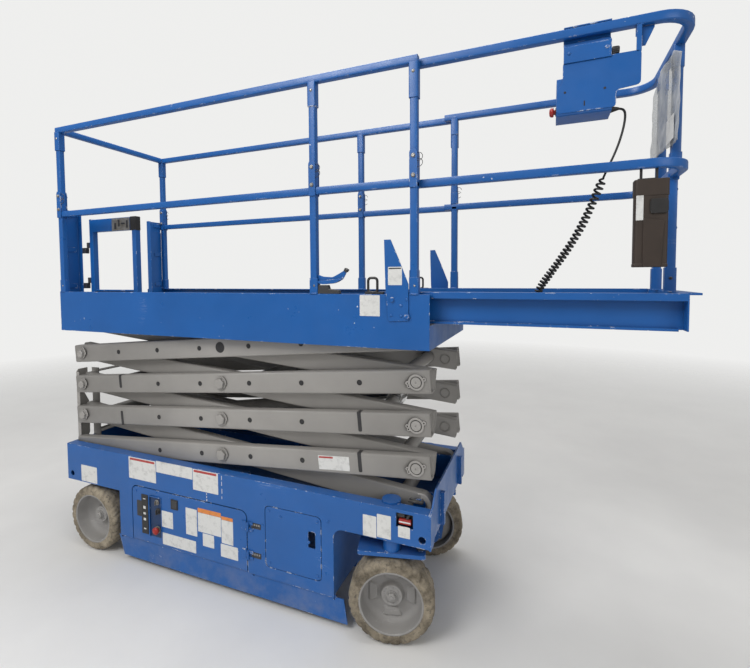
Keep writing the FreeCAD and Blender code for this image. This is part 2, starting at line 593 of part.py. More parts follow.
def placed(shape, level, rising):
    """Tips an arm about its middle and lifts it to its level."""
    out = turned(shape, V(0, 0, 0), V(0, 1, 0), -LEAN if rising else LEAN)
    out.translate(V(PIN_MID_X, 0, PIN_BASE_Z + (level - 0.5) * LEVEL_RISE))
    return out


def inner_arm(level):
    y0, y1 = INNER_ARM_Y - ARM_WIDTH, INNER_ARM_Y
    solids, bores = [], []
    for s in (-1, 1):
        lo, hi = min(s * y0, s * y1), max(s * y0, s * y1)
        solids.append(arm_tube(lo, hi, level == LEVELS, level == 1))
        for x in (-ARM_LENGTH / 2, 0, ARM_LENGTH / 2):
            solids.append(rod_y(lo, hi, x, 0, PIN_RADIUS + 9))
            bores.append(rod_y(lo - 1, hi + 1, x, 0, PIN_RADIUS + PIN_PLAY))
    front_cross = CROSS_MIDDLE if level == CYL_HIGH_LEVEL else CROSS_INSET
    cross = [ARM_LENGTH / 2 - front_cross, -ARM_LENGTH / 2 + CROSS_INSET]
    solids += [rod_y(-y0 - 1, y0 + 1, x, 0, CROSS_RADIUS) for x in cross]
    if level == CYL_LOW_LEVEL:
        solids.append(rod_y(-y0 - 1, y0 + 1, ARM_LENGTH / 2 - CYL_LOW_ALONG, 0, CYL_SHAFT_RADIUS))
    if level == CYL_HIGH_LEVEL:
        stub = CYL_EYE_WIDTH / 2.0 + CYL_STUB_GAP
        for s in (-1, 1):
            ends = sorted((s * stub, s * (y0 + 1)))
            solids.append(rod_y(ends[0], ends[1], ARM_LENGTH / 2 - CYL_HIGH_ALONG, 0, CYL_SHAFT_RADIUS))
    return placed(cut(join(*solids), *bores), level, False)


def outer_arm(level):
    y0, y1 = OUTER_ARM_Y - ARM_WIDTH, OUTER_ARM_Y
    deep = INNER_ARM_Y - ARM_WIDTH - 4
    arms = []
    for s in (-1, 1):
        lo, hi = min(s * y0, s * y1), max(s * y0, s * y1)
        solids = [arm_tube(lo, hi, False, level == LEVELS)]
        for x in (-ARM_LENGTH / 2, 0, ARM_LENGTH / 2):
            flush = level == 1 and x < 0
            ends = sorted((s * deep, s * (OUTER_ARM_Y + (0 if flush else 8))))
            solids.append(rod_y(ends[0], ends[1], x, 0, PIN_RADIUS))
            if not flush:
                ends = sorted((s * (y1 - 1), s * (y1 + 5)))
                solids.append(rod_y(ends[0], ends[1], x, 0, PIN_RADIUS + 7))
        arms.append(placed(join(*solids), level, True))
    return arms


for level in range(1, LEVELS + 1):
    save("inner_arms_%d" % level, inner_arm(level))
    save("outer_arms_%d" % level, *outer_arm(level))


def slide_block(x, z, y0, y1, pin_to):
    """A block with a bore, or with its own pin when pin_to is given."""
    body = rounded_box(x - BLOCK_LENGTH / 2, x + BLOCK_LENGTH / 2, min(y0, y1), max(y0, y1),
                       z - BLOCK_HEIGHT / 2, z + BLOCK_HEIGHT / 2, 8, V(0, 1, 0))
    if pin_to is None:
        return cut(body, rod_y(min(y0, y1) - 1, max(y0, y1) + 1, x, z, PIN_RADIUS + PIN_PLAY))
    ends = sorted((y0, pin_to))
    return join(body, rod_y(ends[0], ends[1], x, z, PIN_RADIUS))


lower = [slide_block(PIN_REAR_X, PIN_BASE_Z, s * (INNER_ARM_Y - ARM_WIDTH), s * (INNER_ARM_Y - 2), None)
         for s in (-1, 1)]
save("lower_slide_blocks", *lower)
upper = [slide_block(PIN_REAR_X, PIN_TOP_Z, s * (OUTER_ARM_Y - 2), s * (OUTER_ARM_Y - ARM_WIDTH + 4),
                     s * (INNER_ARM_Y - ARM_WIDTH - 4)) for s in (-1, 1)]
save("upper_slide_blocks", *upper)

# Lift cylinder, from the first inner arms' shaft up to the third's
lean = math.radians(LEAN)
low_x = PIN_FRONT_X - CYL_LOW_ALONG * math.cos(lean)
low_z = PIN_BASE_Z + (CYL_LOW_LEVEL - 1) * LEVEL_RISE + CYL_LOW_ALONG * math.sin(lean)
high_x = PIN_FRONT_X - CYL_HIGH_ALONG * math.cos(lean)
high_z = PIN_BASE_Z + (CYL_HIGH_LEVEL - 1) * LEVEL_RISE + CYL_HIGH_ALONG * math.sin(lean)
cyl_len = math.hypot(high_x - low_x, high_z - low_z)
cyl_deg = math.degrees(math.atan2(high_z - low_z, high_x - low_x))
barrel_len = cyl_len - CYL_ROD_SHOWN
half_eye = CYL_EYE_WIDTH / 2.0
eye = rod_y(-half_eye, half_eye, 0, 0, CYL_SHAFT_RADIUS + 17)
barrel = join(eye, rod_x(20, barrel_len, 0, 0, CYL_BARREL_RADIUS))
hollow = join(rod_x(70, barrel_len - 40, 0, 0, CYL_BARREL_RADIUS - 8),
              rod_x(barrel_len - 60, barrel_len + 1, 0, 0, CYL_ROD_RADIUS + PIN_PLAY))
barrel = barrel.cut(hollow).cut(rod_y(-half_eye - 1, half_eye + 1, 0, 0, CYL_SHAFT_RADIUS + PIN_PLAY))
rod_end = rod_y(-half_eye, half_eye, cyl_len, 0, CYL_SHAFT_RADIUS + 17)
rod = join(rod_x(110, cyl_len - 20, 0, 0, CYL_ROD_RADIUS), rod_x(110, 150, 0, 0, CYL_BARREL_RADIUS - 9),
           rod_end)
rod = join(rod, rod_y(-half_eye - 3, half_eye + 3, cyl_len, 0, CYL_SHAFT_RADIUS))
for name, shape in (("lift_barrel", barrel), ("lift_rod", rod)):
    shape = turned(shape, V(0, 0, 0), V(0, 1, 0), -cyl_deg)
    shape.translate(V(low_x, 0, low_z))
    save(name, shape)


# Platform: side panels, end panels, floor and the arms' seats under it
def side_panel():
    y0 = -PLAT_HALF
    web = box(PLAT_REAR, PLAT_FRONT, y0, y0 + SHEET, PANEL_BOTTOM, PANEL_TOP)
    hem = box(PLAT_REAR, PLAT_FRONT, y0, y0 + 34, PANEL_TOP - SHEET, PANEL_TOP)
    foot = box(PLAT_REAR, PLAT_FRONT, y0, y0 + 46, PANEL_BOTTOM, PANEL_BOTTOM + SHEET)
    return [web, hem, foot]


floor_bottom = FLOOR_TOP - FLOOR_SHEET
track_z = PIN_TOP_Z + BLOCK_HEIGHT / 2.0 + BLOCK_PLAY
solids = side_panel() + [mirror_y(s) for s in side_panel()]
solids.append(box(PLAT_REAR, PLAT_REAR + SHEET, -PLAT_HALF, PLAT_HALF, PANEL_BOTTOM, FLOOR_TOP))
for s in (-1, 1):
    y_in, y_out = s * (WAY_NEAR if s < 0 else WAY_FAR), s * PLAT_HALF
    solids.append(box(PLAT_REAR, PLAT_REAR + SHEET, min(y_in, y_out), max(y_in, y_out), PANEL_BOTTOM,
                      PANEL_TOP))
    beam_y = sorted((s * (OUTER_ARM_Y + 6), s * (PLAT_HALF - 4)))
    solids.append(box(PLAT_REAR + 1, PLAT_FRONT, beam_y[0], beam_y[1], floor_bottom - 34, floor_bottom + 1))
    rail_y = sorted((s * (OUTER_ARM_Y - ARM_WIDTH + 2), s * (OUTER_ARM_Y + 7)))
    solids.append(box(PLAT_REAR + 1, PIN_MID_X + 80, rail_y[0], rail_y[1], track_z, floor_bottom + 1))
    seat_y = sorted((s * (INNER_ARM_Y - 28), s * (INNER_ARM_Y - 2)))
    seat = box(PIN_FRONT_X - 50, PLAT_FRONT, seat_y[0], seat_y[1], PIN_TOP_Z - 40, floor_bottom + 1)
    seat = round_edges(seat, 30, V(0, 1, 0), lambda m: m.z < PIN_TOP_Z and m.x < PIN_FRONT_X)
    bore = rod_y(seat_y[0] - 1, seat_y[1] + 1, PIN_FRONT_X, PIN_TOP_Z, PIN_RADIUS + PIN_PLAY)
    solids.append(cut(seat, bore))
for k in range(7):
    x = PLAT_REAR + 120 + k * (PLAT_FRONT - PLAT_REAR - 200) / 6.0
    solids.append(box(x, x + 30, -RIB_HALF, RIB_HALF, floor_bottom - 22, floor_bottom + 1))
for s in (-1, 1):
    stringer = sorted((s * (RIB_HALF - 30), s * RIB_HALF))
    solids.append(box(PLAT_REAR + 1, PLAT_FRONT - 1, stringer[0], stringer[1], floor_bottom - 22,
                      floor_bottom + 1))
solids.append(box(PLAT_FRONT - SHEET, PLAT_FRONT, -PLAT_HALF, PLAT_HALF, PANEL_BOTTOM, floor_bottom + 1))
save("platform_frame", join(*solids))
save("platform_floor", box(PLAT_REAR + SHEET + 0.3, PLAT_FRONT, -PLAT_HALF + SHEET + 0.3,
                           PLAT_HALF - SHEET - 0.3,
                           floor_bottom + 1, FLOOR_TOP + 1))

# Guides on the floor that hold the deck's feet down and keep it straight
GUIDE_BOTTOM = FLOOR_TOP + 1
guides = []
for s in (-1, 1):
    side = sorted((s * (EXT_WEB_Y + 19), s * (EXT_WEB_Y + 25)))
    over = sorted((s * (EXT_WEB_Y + 6), s * (EXT_WEB_Y + 25)))
    guides.append(join(box(GUIDE_REAR, PLAT_FRONT - 40, side[0], side[1], GUIDE_BOTTOM + 0.2,
                           EXT_BOTTOM + 11),
                       box(GUIDE_REAR, PLAT_FRONT - 40, over[0], over[1], EXT_BOTTOM + 6, EXT_BOTTOM + 11)))
save("deck_guides", *guides)

# Guard rails of the main deck
HALF_RAIL = RAIL / 2.0


def post(x, y, z0, z1, wall=3.0):
    return square_tube(x - HALF_RAIL, x + HALF_RAIL, y - HALF_RAIL, y + HALF_RAIL, z0, z1, wall, "z")


def bar_x(x0, x1, y, z):
    return box(x0, x1, y - HALF_RAIL, y + HALF_RAIL, z - HALF_RAIL, z + HALF_RAIL)


def bar_y(y0, y1, x, z):
    return box(x - HALF_RAIL, x + HALF_RAIL, y0, y1, z - HALF_RAIL, z + HALF_RAIL)


def low_rails(s, posts):
    """Lower half of a side's rails: sockets, posts, middle rail and fold ears."""
    y = s * RAIL_Y
    out = [bar_x(RAIL_REAR_X - HALF_RAIL, posts[-1] + HALF_RAIL, y, RAIL_MID_Z)]
    for x in posts:
        out.append(box(x - HALF_RAIL, x + HALF_RAIL, y - HALF_RAIL, y + HALF_RAIL, PANEL_TOP, RAIL_MID_Z))
        out.append(box(x - HALF_RAIL - 5, x + HALF_RAIL + 5, y - HALF_RAIL, y + HALF_RAIL + 0, PANEL_TOP,
                       PANEL_TOP + 70))
        ear = [box(x - HALF_RAIL, x + HALF_RAIL, min(y + e, y + e + d), max(y + e, y + e + d), FOLD_LOW_Z,
                   FOLD_LOW_Z + 170)
               for e, d in ((-HALF_RAIL - 5, 5), (HALF_RAIL, 5))]
        out += ear
    return join(*out)


def high_rails(s, posts):
    y = s * RAIL_Y
    bottom = RAIL_MID_Z + HALF_RAIL + 0.3
    out = [bar_x(RAIL_REAR_X - HALF_RAIL, posts[-1] + HALF_RAIL, y, RAIL_TOP_Z)]
    for x in posts:
        out.append(box(x - HALF_RAIL, x + HALF_RAIL, y - HALF_RAIL + 0.3, y + HALF_RAIL - 0.3, bottom,
                       RAIL_TOP_Z))
    return join(*out)


NEAR_POSTS = (RAIL_REAR_X, POST_MID_X, POST_JOINT_X)
FAR_POSTS = (RAIL_REAR_X, POST_MID_X - 84, POST_JOINT_X + 18)
save("near_rails_low", low_rails(-1, NEAR_POSTS))
save("near_rails_high", high_rails(-1, NEAR_POSTS))
save("far_rails_low", low_rails(1, FAR_POSTS))
save("far_rails_high", high_rails(1, FAR_POSTS))

# Rear end: top rail, and a folded panel each side of the way in
GATE_PIN = (RAIL_REAR_X + 44.0, -WAY_NEAR + 18.0)
GATE_KNUCKLES = (1590, 1805)
KNUCKLE_HALF = 33.0
KNUCKLE_RADIUS = 5.5
KNUCKLE_PLAY = 0.3
rear = [bar_y(-RAIL_Y + HALF_RAIL + 0.3, RAIL_Y - HALF_RAIL - 0.3, RAIL_REAR_X, RAIL_TOP_Z)]
save("rear_rail_high", rear[0])


def rear_panel(s, edge):
    """A sheet from the way in to the corner post, clear of the post's ears, with a flange along the way in."""
    x0 = RAIL_REAR_X - HALF_RAIL
    foot = FLOOR_TOP + 1.3
    wide = sorted((s * edge, s * (RAIL_Y - HALF_RAIL - 5.3)))
    tab = sorted((s * (RAIL_Y - HALF_RAIL - 6), s * (RAIL_Y - HALF_RAIL - 0.3)))
    flange = sorted((s * edge, s * (edge + REAR_SHEET)))
    return join(box(x0, x0 + REAR_SHEET, wide[0], wide[1], foot, REAR_PANEL_TOP),
                box(x0, x0 + REAR_SHEET, tab[0], tab[1], PANEL_TOP + 11, FOLD_LOW_Z - 5),
                box(x0, x0 + REAR_FLANGE, flange[0], flange[1], foot, REAR_PANEL_TOP))


pin_x, pin_y = GATE_PIN
flange_x = RAIL_REAR_X - HALF_RAIL + REAR_FLANGE
near_panel = [rear_panel(-1, WAY_NEAR)]
for z in GATE_KNUCKLES:
    near_panel.append(rod_z(z - KNUCKLE_HALF, z, pin_x, pin_y, KNUCKLE_RADIUS))
    near_panel.append(box(flange_x - 6, pin_x + 5, -WAY_NEAR - 1, -WAY_NEAR + 5, z - KNUCKLE_HALF, z))
    near_panel.append(box(pin_x - 5, pin_x + 5, -WAY_NEAR + 4, pin_y, z - KNUCKLE_HALF, z))
save("rear_rails_low", join(*near_panel), rear_panel(1, WAY_FAR))

# Swing gate at the rear, standing open along the near side: two posts, a deep top bar, a kerb and a latch plate
gate_y, gate_x0 = pin_y + 12.0, pin_x + 22.0
gate_x1 = gate_x0 + GATE_LENGTH
gate_foot = FLOOR_TOP + 20
gate = [box(x, x + RAIL, gate_y - HALF_RAIL, gate_y + HALF_RAIL, gate_foot, GATE_TOP)
        for x in (gate_x0, gate_x1 - RAIL)]
gate.append(box(gate_x0, gate_x1, gate_y - HALF_RAIL, gate_y + HALF_RAIL, GATE_TOP - GATE_BAR_DEPTH, GATE_TOP))
gate.append(box(gate_x0 + 1, gate_x1 - 1, gate_y - 3, gate_y + 3, gate_foot, gate_foot + 110))
gate.append(box(gate_x1 - 190, gate_x1 - 44, gate_y - HALF_RAIL - 4, gate_y - HALF_RAIL + 1,
                GATE_TOP - GATE_BAR_DEPTH, GATE_TOP - 3))
for z in GATE_KNUCKLES:
    gate.append(rod_z(z + KNUCKLE_PLAY, z + KNUCKLE_HALF, pin_x, pin_y, KNUCKLE_RADIUS))
    gate.append(box(pin_x, gate_x0 + 1, pin_y - 3, pin_y + 3, z + KNUCKLE_PLAY, z + KNUCKLE_HALF))
save("gate", join(*gate))


# Gusset plates that brace the joint posts on the side panels
def gusset():
    y1 = -PLAT_HALF
    pts = [(917, 1768), (945, 1768), (980, 1687), (1022, 1581), (1022, 1430), (935, 1425), (922, 1567)]
    return plate_xz(pts, y1 - 5, y1)


save("gussets", gusset(), mirror_y(gusset()))

# Tie rings on the side panels' hem and the deck's foot latch
ring_arc = Part.makeTorus(22, 5, V(857, -RAIL_Y, PANEL_TOP + 30), V(0, 1, 0))
ring = join(ring_arc, box(840, 874, -RAIL_Y - 8, -RAIL_Y + 8, PANEL_TOP, PANEL_TOP + 8))
save("tie_rings", ring, mirror_y(ring))
latch = join(box(600, 690, -RAIL_Y - 14, -RAIL_Y + 14, PANEL_TOP, PANEL_TOP + 10),
             box(612, 750, -RAIL_Y - 5, -RAIL_Y + 5, PANEL_TOP + 9, PANEL_TOP + 34))
save("deck_latch", latch)

# Roll-out deck: side beams, floor, cross members and the front lip
solids = []
for s in (-1, 1):
    web = sorted((s * EXT_WEB_Y, s * (EXT_WEB_Y + SHEET)))
    flange = sorted((s * EXT_WEB_Y, s * (EXT_RAIL_Y + HALF_RAIL)))
    solids.append(box(EXT_REAR, EXT_FLANGE_FRONT, web[0], web[1], EXT_BOTTOM, EXT_TOP))
    solids.append(box(EXT_REAR, EXT_FLANGE_FRONT, flange[0], flange[1], EXT_TOP - 8, EXT_TOP))
    hem = sorted((s * (EXT_RAIL_Y + HALF_RAIL - 4), s * (EXT_RAIL_Y + HALF_RAIL)))
    solids.append(box(EXT_REAR, EXT_FLANGE_FRONT, hem[0], hem[1], EXT_TOP - 26, EXT_TOP - 7))
    foot = sorted((s * EXT_WEB_Y, s * (EXT_WEB_Y + 18)))
    solids.append(box(EXT_REAR, EXT_FLANGE_FRONT - 20, foot[0], foot[1], GUIDE_BOTTOM + 0.3, EXT_BOTTOM + 5))
solids.append(box(EXT_FLANGE_FRONT - SHEET, EXT_FLANGE_FRONT, -EXT_RAIL_Y - HALF_RAIL, EXT_RAIL_Y + HALF_RAIL,
                  EXT_BOTTOM, EXT_TOP))
lip = box(EXT_FLANGE_FRONT - 1, EXT_LIP_FRONT, -EXT_RAIL_Y + 60, EXT_RAIL_Y - 60, EXT_TOP - 8, EXT_TOP)
solids.append(lip)
save("deck_frame", join(*solids))
save("deck_floor", box(EXT_REAR, EXT_FLANGE_FRONT - SHEET - 0.3, -EXT_WEB_Y + 0.3, EXT_WEB_Y - 0.3,
                       EXT_BOTTOM + 2, EXT_BOTTOM + 6))


# Rails of the roll-out deck: loops with round front corners
def loop(z, wide):
    """A rail at height z that runs out one side, round the front and back."""
    def outline(grow):
        r = EXT_CORNER + grow
        y = EXT_RAIL_Y + grow
        return rounded_box(EXT_RAIL_FRONT_X - 1500, EXT_RAIL_FRONT_X + grow, -y, y, z - wide, z + wide, r,
                           V(0, 0, 1))
    ring = cut(outline(HALF_RAIL), outline(-HALF_RAIL))
    return ring.common(box(EXT_REAR_POSTS[0] - HALF_RAIL, EXT_LIP_FRONT, -500, 500, z - wide - 1,
                           z + wide + 1))


low, high = [loop(RAIL_MID_Z, HALF_RAIL)], [loop(RAIL_TOP_Z, HALF_RAIL)]
for s in (-1, 1):
    for x, y in ((EXT_REAR_POSTS[(s + 1) // 2], s * EXT_RAIL_Y), (EXT_POST_X, s * EXT_RAIL_Y),
                 (EXT_END_POST[0], s * EXT_END_POST[1])):
        low.append(box(x - HALF_RAIL, x + HALF_RAIL, y - HALF_RAIL, y + HALF_RAIL, EXT_TOP, RAIL_MID_Z))
        high.append(box(x - HALF_RAIL, x + HALF_RAIL, y - HALF_RAIL, y + HALF_RAIL,
                        RAIL_MID_Z + HALF_RAIL + 0.3,
                        RAIL_TOP_Z))
save("deck_rails_low", join(*low))
save("deck_rails_high", join(*high))

# Platform controls hung on the near top rail of the roll-out deck
rail_out = -EXT_RAIL_Y - HALF_RAIL
KNOB_Y = rail_out + 9
hanger = join(box(1594, 1747, rail_out - 5, rail_out - 0.3, RAIL_TOP_Z - 120, RAIL_TOP_Z + 21),
              box(1594, 1747, rail_out - 5, -EXT_RAIL_Y + HALF_RAIL + 5, RAIL_TOP_Z + HALF_RAIL + 0.3,
                  RAIL_TOP_Z + 21),
              box(1594, 1747, -EXT_RAIL_Y + HALF_RAIL + 0.3, -EXT_RAIL_Y + HALF_RAIL + 5, RAIL_TOP_Z - 60,
                  RAIL_TOP_Z + 21))
knob = rod_x(1746, 1772, KNOB_Y, RAIL_TOP_Z - 87, 13)
bracket = box(1740, 1747, rail_out - 4.5, KNOB_Y + 13, RAIL_TOP_Z - 101, RAIL_TOP_Z - 73)
save("control_hanger", join(hanger, knob, bracket))
back = plate_xz([(1592, RAIL_TOP_Z - 102), (1838, RAIL_TOP_Z - 102), (1838, RAIL_TOP_Z - 217),
                 (1764, RAIL_TOP_Z - 225), (1764, RAIL_TOP_Z - 283), (1572, RAIL_TOP_Z - 283),
                 (1572, RAIL_TOP_Z - 197), (1592, RAIL_TOP_Z - 177)], rail_out + 0.3, rail_out + 4)
inside = rail_out + 3
case = plate_yz([(inside, RAIL_TOP_Z - 157), (inside, RAIL_TOP_Z - 329), (inside + 30, RAIL_TOP_Z - 349),
                 (inside + 112, RAIL_TOP_Z - 349), (inside + 112, RAIL_TOP_Z - 257),
                 (inside + 60, RAIL_TOP_Z - 157)],
                1572, 1752)
stop_y, stop_z = rail_out + 30, RAIL_TOP_Z - 309
stop = join(rod_x(1548, 1562, stop_y, stop_z, 17), rod_x(1561, 1573, stop_y, stop_z, 8))
gland = rod_x(1751, 1775, rail_out + 58, RAIL_TOP_Z - 299, 9)
lever = Part.makeCone(5, 8, 62, V(1690, inside + 84, RAIL_TOP_Z - 207), V(0, 0.62, 0.78))
save("control_box", join(back, case, stop, gland, lever))

# Manual holder and the dirty sheet on the front rail
save("manual_box", rounded_box(1832, 1926.5, -EXT_RAIL_Y + HALF_RAIL + 0.3, -EXT_RAIL_Y + HALF_RAIL + 46,
                               RAIL_MID_Z - 358, RAIL_MID_Z - 46, 8, V(0, 0, 1)))
save("front_sheet", plate_yz([(-272, RAIL_TOP_Z - 404), (208, RAIL_TOP_Z - 359), (208, RAIL_TOP_Z + 3),
                              (-190, RAIL_TOP_Z + 3), (-272, RAIL_TOP_Z - 47)],
                             EXT_RAIL_FRONT_X - HALF_RAIL - 3.3, EXT_RAIL_FRONT_X - HALF_RAIL - 0.3))

# Curly control lead: from the control box's gland down to its socket on the deck
LEAD_RADIUS = 5.0
COIL_RADIUS = 16.0


def tube_path(points, r):
    """A round tube along straight runs joined by arcs of 0.45 of the shorter run."""
    pts = [V(*p) for p in points]
    edges, at = [], pts[0]
    for a, b, c in zip(pts, pts[1:], pts[2:]):
        u, v = b.sub(a).normalize(), c.sub(b).normalize()
        run = 0.45 * min(b.sub(a).Length, c.sub(b).Length)
        turn = u.getAngle(v)
        print("cord arc radius %.1f turn %.1f" % (run / math.tan(turn / 2.0), math.degrees(turn)))
        start, end = b.sub(u * run), b.add(v * run)
        radius = run / math.tan(turn / 2.0)
        inward = v.sub(u).normalize()
        centre = b.add(inward * (radius / math.cos(turn / 2.0)))
        middle = centre.sub(inward * radius)
        edges.append(Part.LineSegment(at, start).toShape())
        edges.append(Part.Arc(start, middle, end).toShape())
        at = end
    edges.append(Part.LineSegment(at, pts[-1]).toShape())
    path = Part.Wire(edges)
    ring = Part.Wire(Part.Circle(pts[0], pts[1].sub(pts[0]), r).toShape())
    return path.makePipeShell([ring], True, True), path


LEAD = ((1775.3, -300, 2188), (1793, -300, 2187), (1802, -300, 2168), (1796, -299, 2128), (1778, -298, 2070),
        (1752, -298, 2012), (1735, -298, 1972))
COIL = ((1734.4, -298, 1970.6), (1705, -297, 1890), (1668, -295, 1800), (1620, -291, 1712),
        (1560, -285, 1622),
        (1515, -279, 1556), (1502, -276, 1498))
lead, lead_path = tube_path(LEAD, LEAD_RADIUS)
coil, coil_path = tube_path(COIL, COIL_RADIUS)
for name, shape, path, r in (("control_lead", lead, lead_path, LEAD_RADIUS),
                             ("control_coil", coil, coil_path, COIL_RADIUS)):
    print("%s length %.1f, volume %.0f, section times length %.0f"
          % (name, path.Length, shape.Volume, math.pi * r * r * path.Length))
    save(name, shape)
save("platform_socket", box(1480, 1526, -EXT_WEB_Y + 0.3, -EXT_WEB_Y + 48, EXT_BOTTOM + 6, EXT_BOTTOM + 76))

print("arm lean %.3f deg, span %.1f, rear pins x %.1f, top pins z %.1f" % (LEAN, SPAN, PIN_REAR_X, PIN_TOP_Z))
print("cylinder length %.1f at %.3f deg, low (%.1f, %.1f), high (%.1f, %.1f)"
      % (cyl_len, cyl_deg, low_x, low_z, high_x, high_z))
print("%d pieces written" % len(written))
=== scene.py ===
"""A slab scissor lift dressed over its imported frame: rounded tubes, wheels, pins, controls, the curly lead and worn paint."""

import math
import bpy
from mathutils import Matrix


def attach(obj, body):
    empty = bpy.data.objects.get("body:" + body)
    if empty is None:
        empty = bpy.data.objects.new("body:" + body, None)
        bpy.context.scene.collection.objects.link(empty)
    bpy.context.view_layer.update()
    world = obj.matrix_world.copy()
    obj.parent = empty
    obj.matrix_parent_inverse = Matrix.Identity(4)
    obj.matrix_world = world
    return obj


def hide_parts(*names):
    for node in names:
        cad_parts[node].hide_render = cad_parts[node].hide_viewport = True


bl_info = {
    "name": "Scissor lift dressing",
    "version": (1, 0, 0),
    "blender": (4, 5, 0),
    "location": "View3D > Sidebar > Scissor lift",
    "description": "Builds the detailed pieces and the worn paint of a slab scissor lift around its packed frame",
    "category": "Object",
}

import bmesh
import bpy
import numpy as np
from mathutils import Matrix, Vector

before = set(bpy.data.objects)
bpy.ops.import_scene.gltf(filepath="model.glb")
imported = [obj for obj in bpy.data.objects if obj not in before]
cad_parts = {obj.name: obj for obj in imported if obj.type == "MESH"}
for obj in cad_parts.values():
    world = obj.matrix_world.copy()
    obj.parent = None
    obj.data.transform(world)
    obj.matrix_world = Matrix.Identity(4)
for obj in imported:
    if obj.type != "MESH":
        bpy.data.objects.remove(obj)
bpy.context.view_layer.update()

# Places below are in millimetres from the middle of the chassis on the ground; the frame lies this far behind
FRAME_SHIFT = np.array([-455.0, 0.0, 0.0])

AXLE_X, TYRE_RADIUS, TYRE_WIDTH, RIM_RADIUS = 925.0, 190.5, 127.0, 143.0
HALF_WIDTH, KINGPIN_Y, STEER = 405.0, 341.5, math.radians(14.0)
ARM_HALF, ARM_END, ARM_DEPTH, ARM_WIDTH = 1046.0, 60.0, 104.0, 50.0
OUTER_Y, INNER_Y, ARM_TILT = 345.0, 289.0, math.asin(187.5 / 2092.0)
ARM_MIDDLE_X, PIN_BASE_Z, LEVEL_RISE = 1040.0 - 1046.0 * math.cos(ARM_TILT), 600.0, 187.5
RAIL, RAIL_Y, RAIL_MID_Z, RAIL_TOP_Z, RAIL_REAR_X = 32.0, 384.0, 1998.0, 2487.0, -1116.0
PLATFORM_Y, PANEL_TOP, PANEL_BOTTOM, FLOOR_TOP = 400.0, 1539.0, 1308.0, 1413.0
NEAR_POSTS, FAR_POSTS = (-1116.0, 577.0, 1043.0), (-1116.0, 493.0, 1061.0)
DECK_Y, DECK_TOP, DECK_FRONT, DECK_CORNER = 342.0, 1548.0, 1985.0, 110.0


# Shapes: each is (points, quads, lids), with points as rows of x, y, z in millimetres
def shell(points, rows_wrap=False, cols_wrap=True, lids=True):
    """A grid of points (rows, columns, 3) as a skin: quads (i, j), (i+1, j), (i+1, j+1), (i, j+1), counted round
    where the grid closes, and a many-sided face over the first and last row of an open tube."""
    rows, cols = points.shape[:2]
    i = np.arange(rows if rows_wrap else rows - 1)[:, None]
    j = np.arange(cols if cols_wrap else cols - 1)[None, :]
    low, high, side = i * cols, (i + 1) % rows * cols, (j + 1) % cols
    quads = np.stack([low + j, high + j, high + side, low + side], -1).reshape(-1, 4)
    ends = [np.arange(cols)[::-1], np.arange(cols) + (rows - 1) * cols] if lids and cols_wrap and not rows_wrap else []
    return points.reshape(-1, 3), quads, ends


def gathered(parts):
    """Several shapes as one: their points in a row, their faces counted on by the points before them."""
    starts = np.cumsum([0] + [len(p[0]) for p in parts[:-1]])
    points = np.concatenate([p[0] for p in parts])
    quads = np.concatenate([np.asarray(p[1]).reshape(-1, 4) + s for p, s in zip(parts, starts)])
    return points, quads, [lid + s for p, s in zip(parts, starts) for lid in p[2]]


def copies(part, places):
    """One shape at many places: point(k, n) = point(n) + place(k)."""
    places = np.atleast_2d(np.asarray(places, float))
    step = np.arange(len(places)) * len(part[0])
    points = (part[0][None] + places[:, None]).reshape(-1, 3)
    quads = (part[1][None] + step[:, None, None]).reshape(-1, 4)
    return points, quads, [lid + s for s in step for lid in part[2]]


def turned(part, degrees, axis, centre=(0, 0, 0)):
    """A shape turned about an axis through a centre: p' = R (p - c) + c."""
    turn = np.array(Matrix.Rotation(math.radians(degrees), 3, axis))
    centre = np.asarray(centre, float)
    return (part[0] - centre) @ turn.T + centre, part[1], part[2]


def facing(part, axis):
    """A shape made along +X, aimed along another axis: (a, b, c) becomes a * axis + b * u + c * v."""
    a = np.asarray(axis, float) / np.linalg.norm(axis)
    u = np.cross(a, (0, 0, 1) if abs(a[2]) < 0.9 else (1, 0, 0))
    u /= np.linalg.norm(u)
    return part[0] @ np.stack([a, u, np.cross(a, u)]), part[1], part[2]


def revolved(profile, sides=24, start=0.0, closed=False):
    """A profile of (along, radius) turned about +X: point(i, j) = (along_i, radius_i cos a_j, radius_i sin a_j)."""
    a = start + np.arange(sides) * 2 * np.pi / sides
    along, radius = np.asarray(profile, float).T
    points = np.stack(np.broadcast_arrays(along[:, None], radius[:, None] * np.cos(a), radius[:, None] * np.sin(a)), -1)
    return shell(points, rows_wrap=closed)


def ring(radius, wire, sides=32, section=8, arc=1.0):
    """A bent wire in the YZ plane: point(i, j) = ((w sin b_j), (R + w cos b_j) cos a_i, (R + w cos b_j) sin a_i)."""
    a = np.linspace(0, 2 * np.pi * arc, sides, endpoint=arc < 1)[:, None]
    b = np.arange(section) * 2 * np.pi / section
    r = radius + wire * np.cos(b)
    return shell(np.stack([wire * np.sin(b) + 0 * a, r * np.cos(a), r * np.sin(a)], -1), rows_wrap=arc >= 1)


def rounded_rectangle(width, height, radius, steps=3):
    """Outline of a rectangle with quarter-circle corners: corner centre + radius (cos a, sin a)."""
    a = np.linspace(0, np.pi / 2, steps + 1) + np.arange(4)[:, None] * np.pi / 2
    sx, sy = np.array([1, -1, -1, 1])[:, None], np.array([1, 1, -1, -1])[:, None]
    x = sx * (width / 2 - radius) + radius * np.cos(a)
    y = sy * (height / 2 - radius) + radius * np.sin(a)
    return np.stack([x, y], -1).reshape(-1, 2)


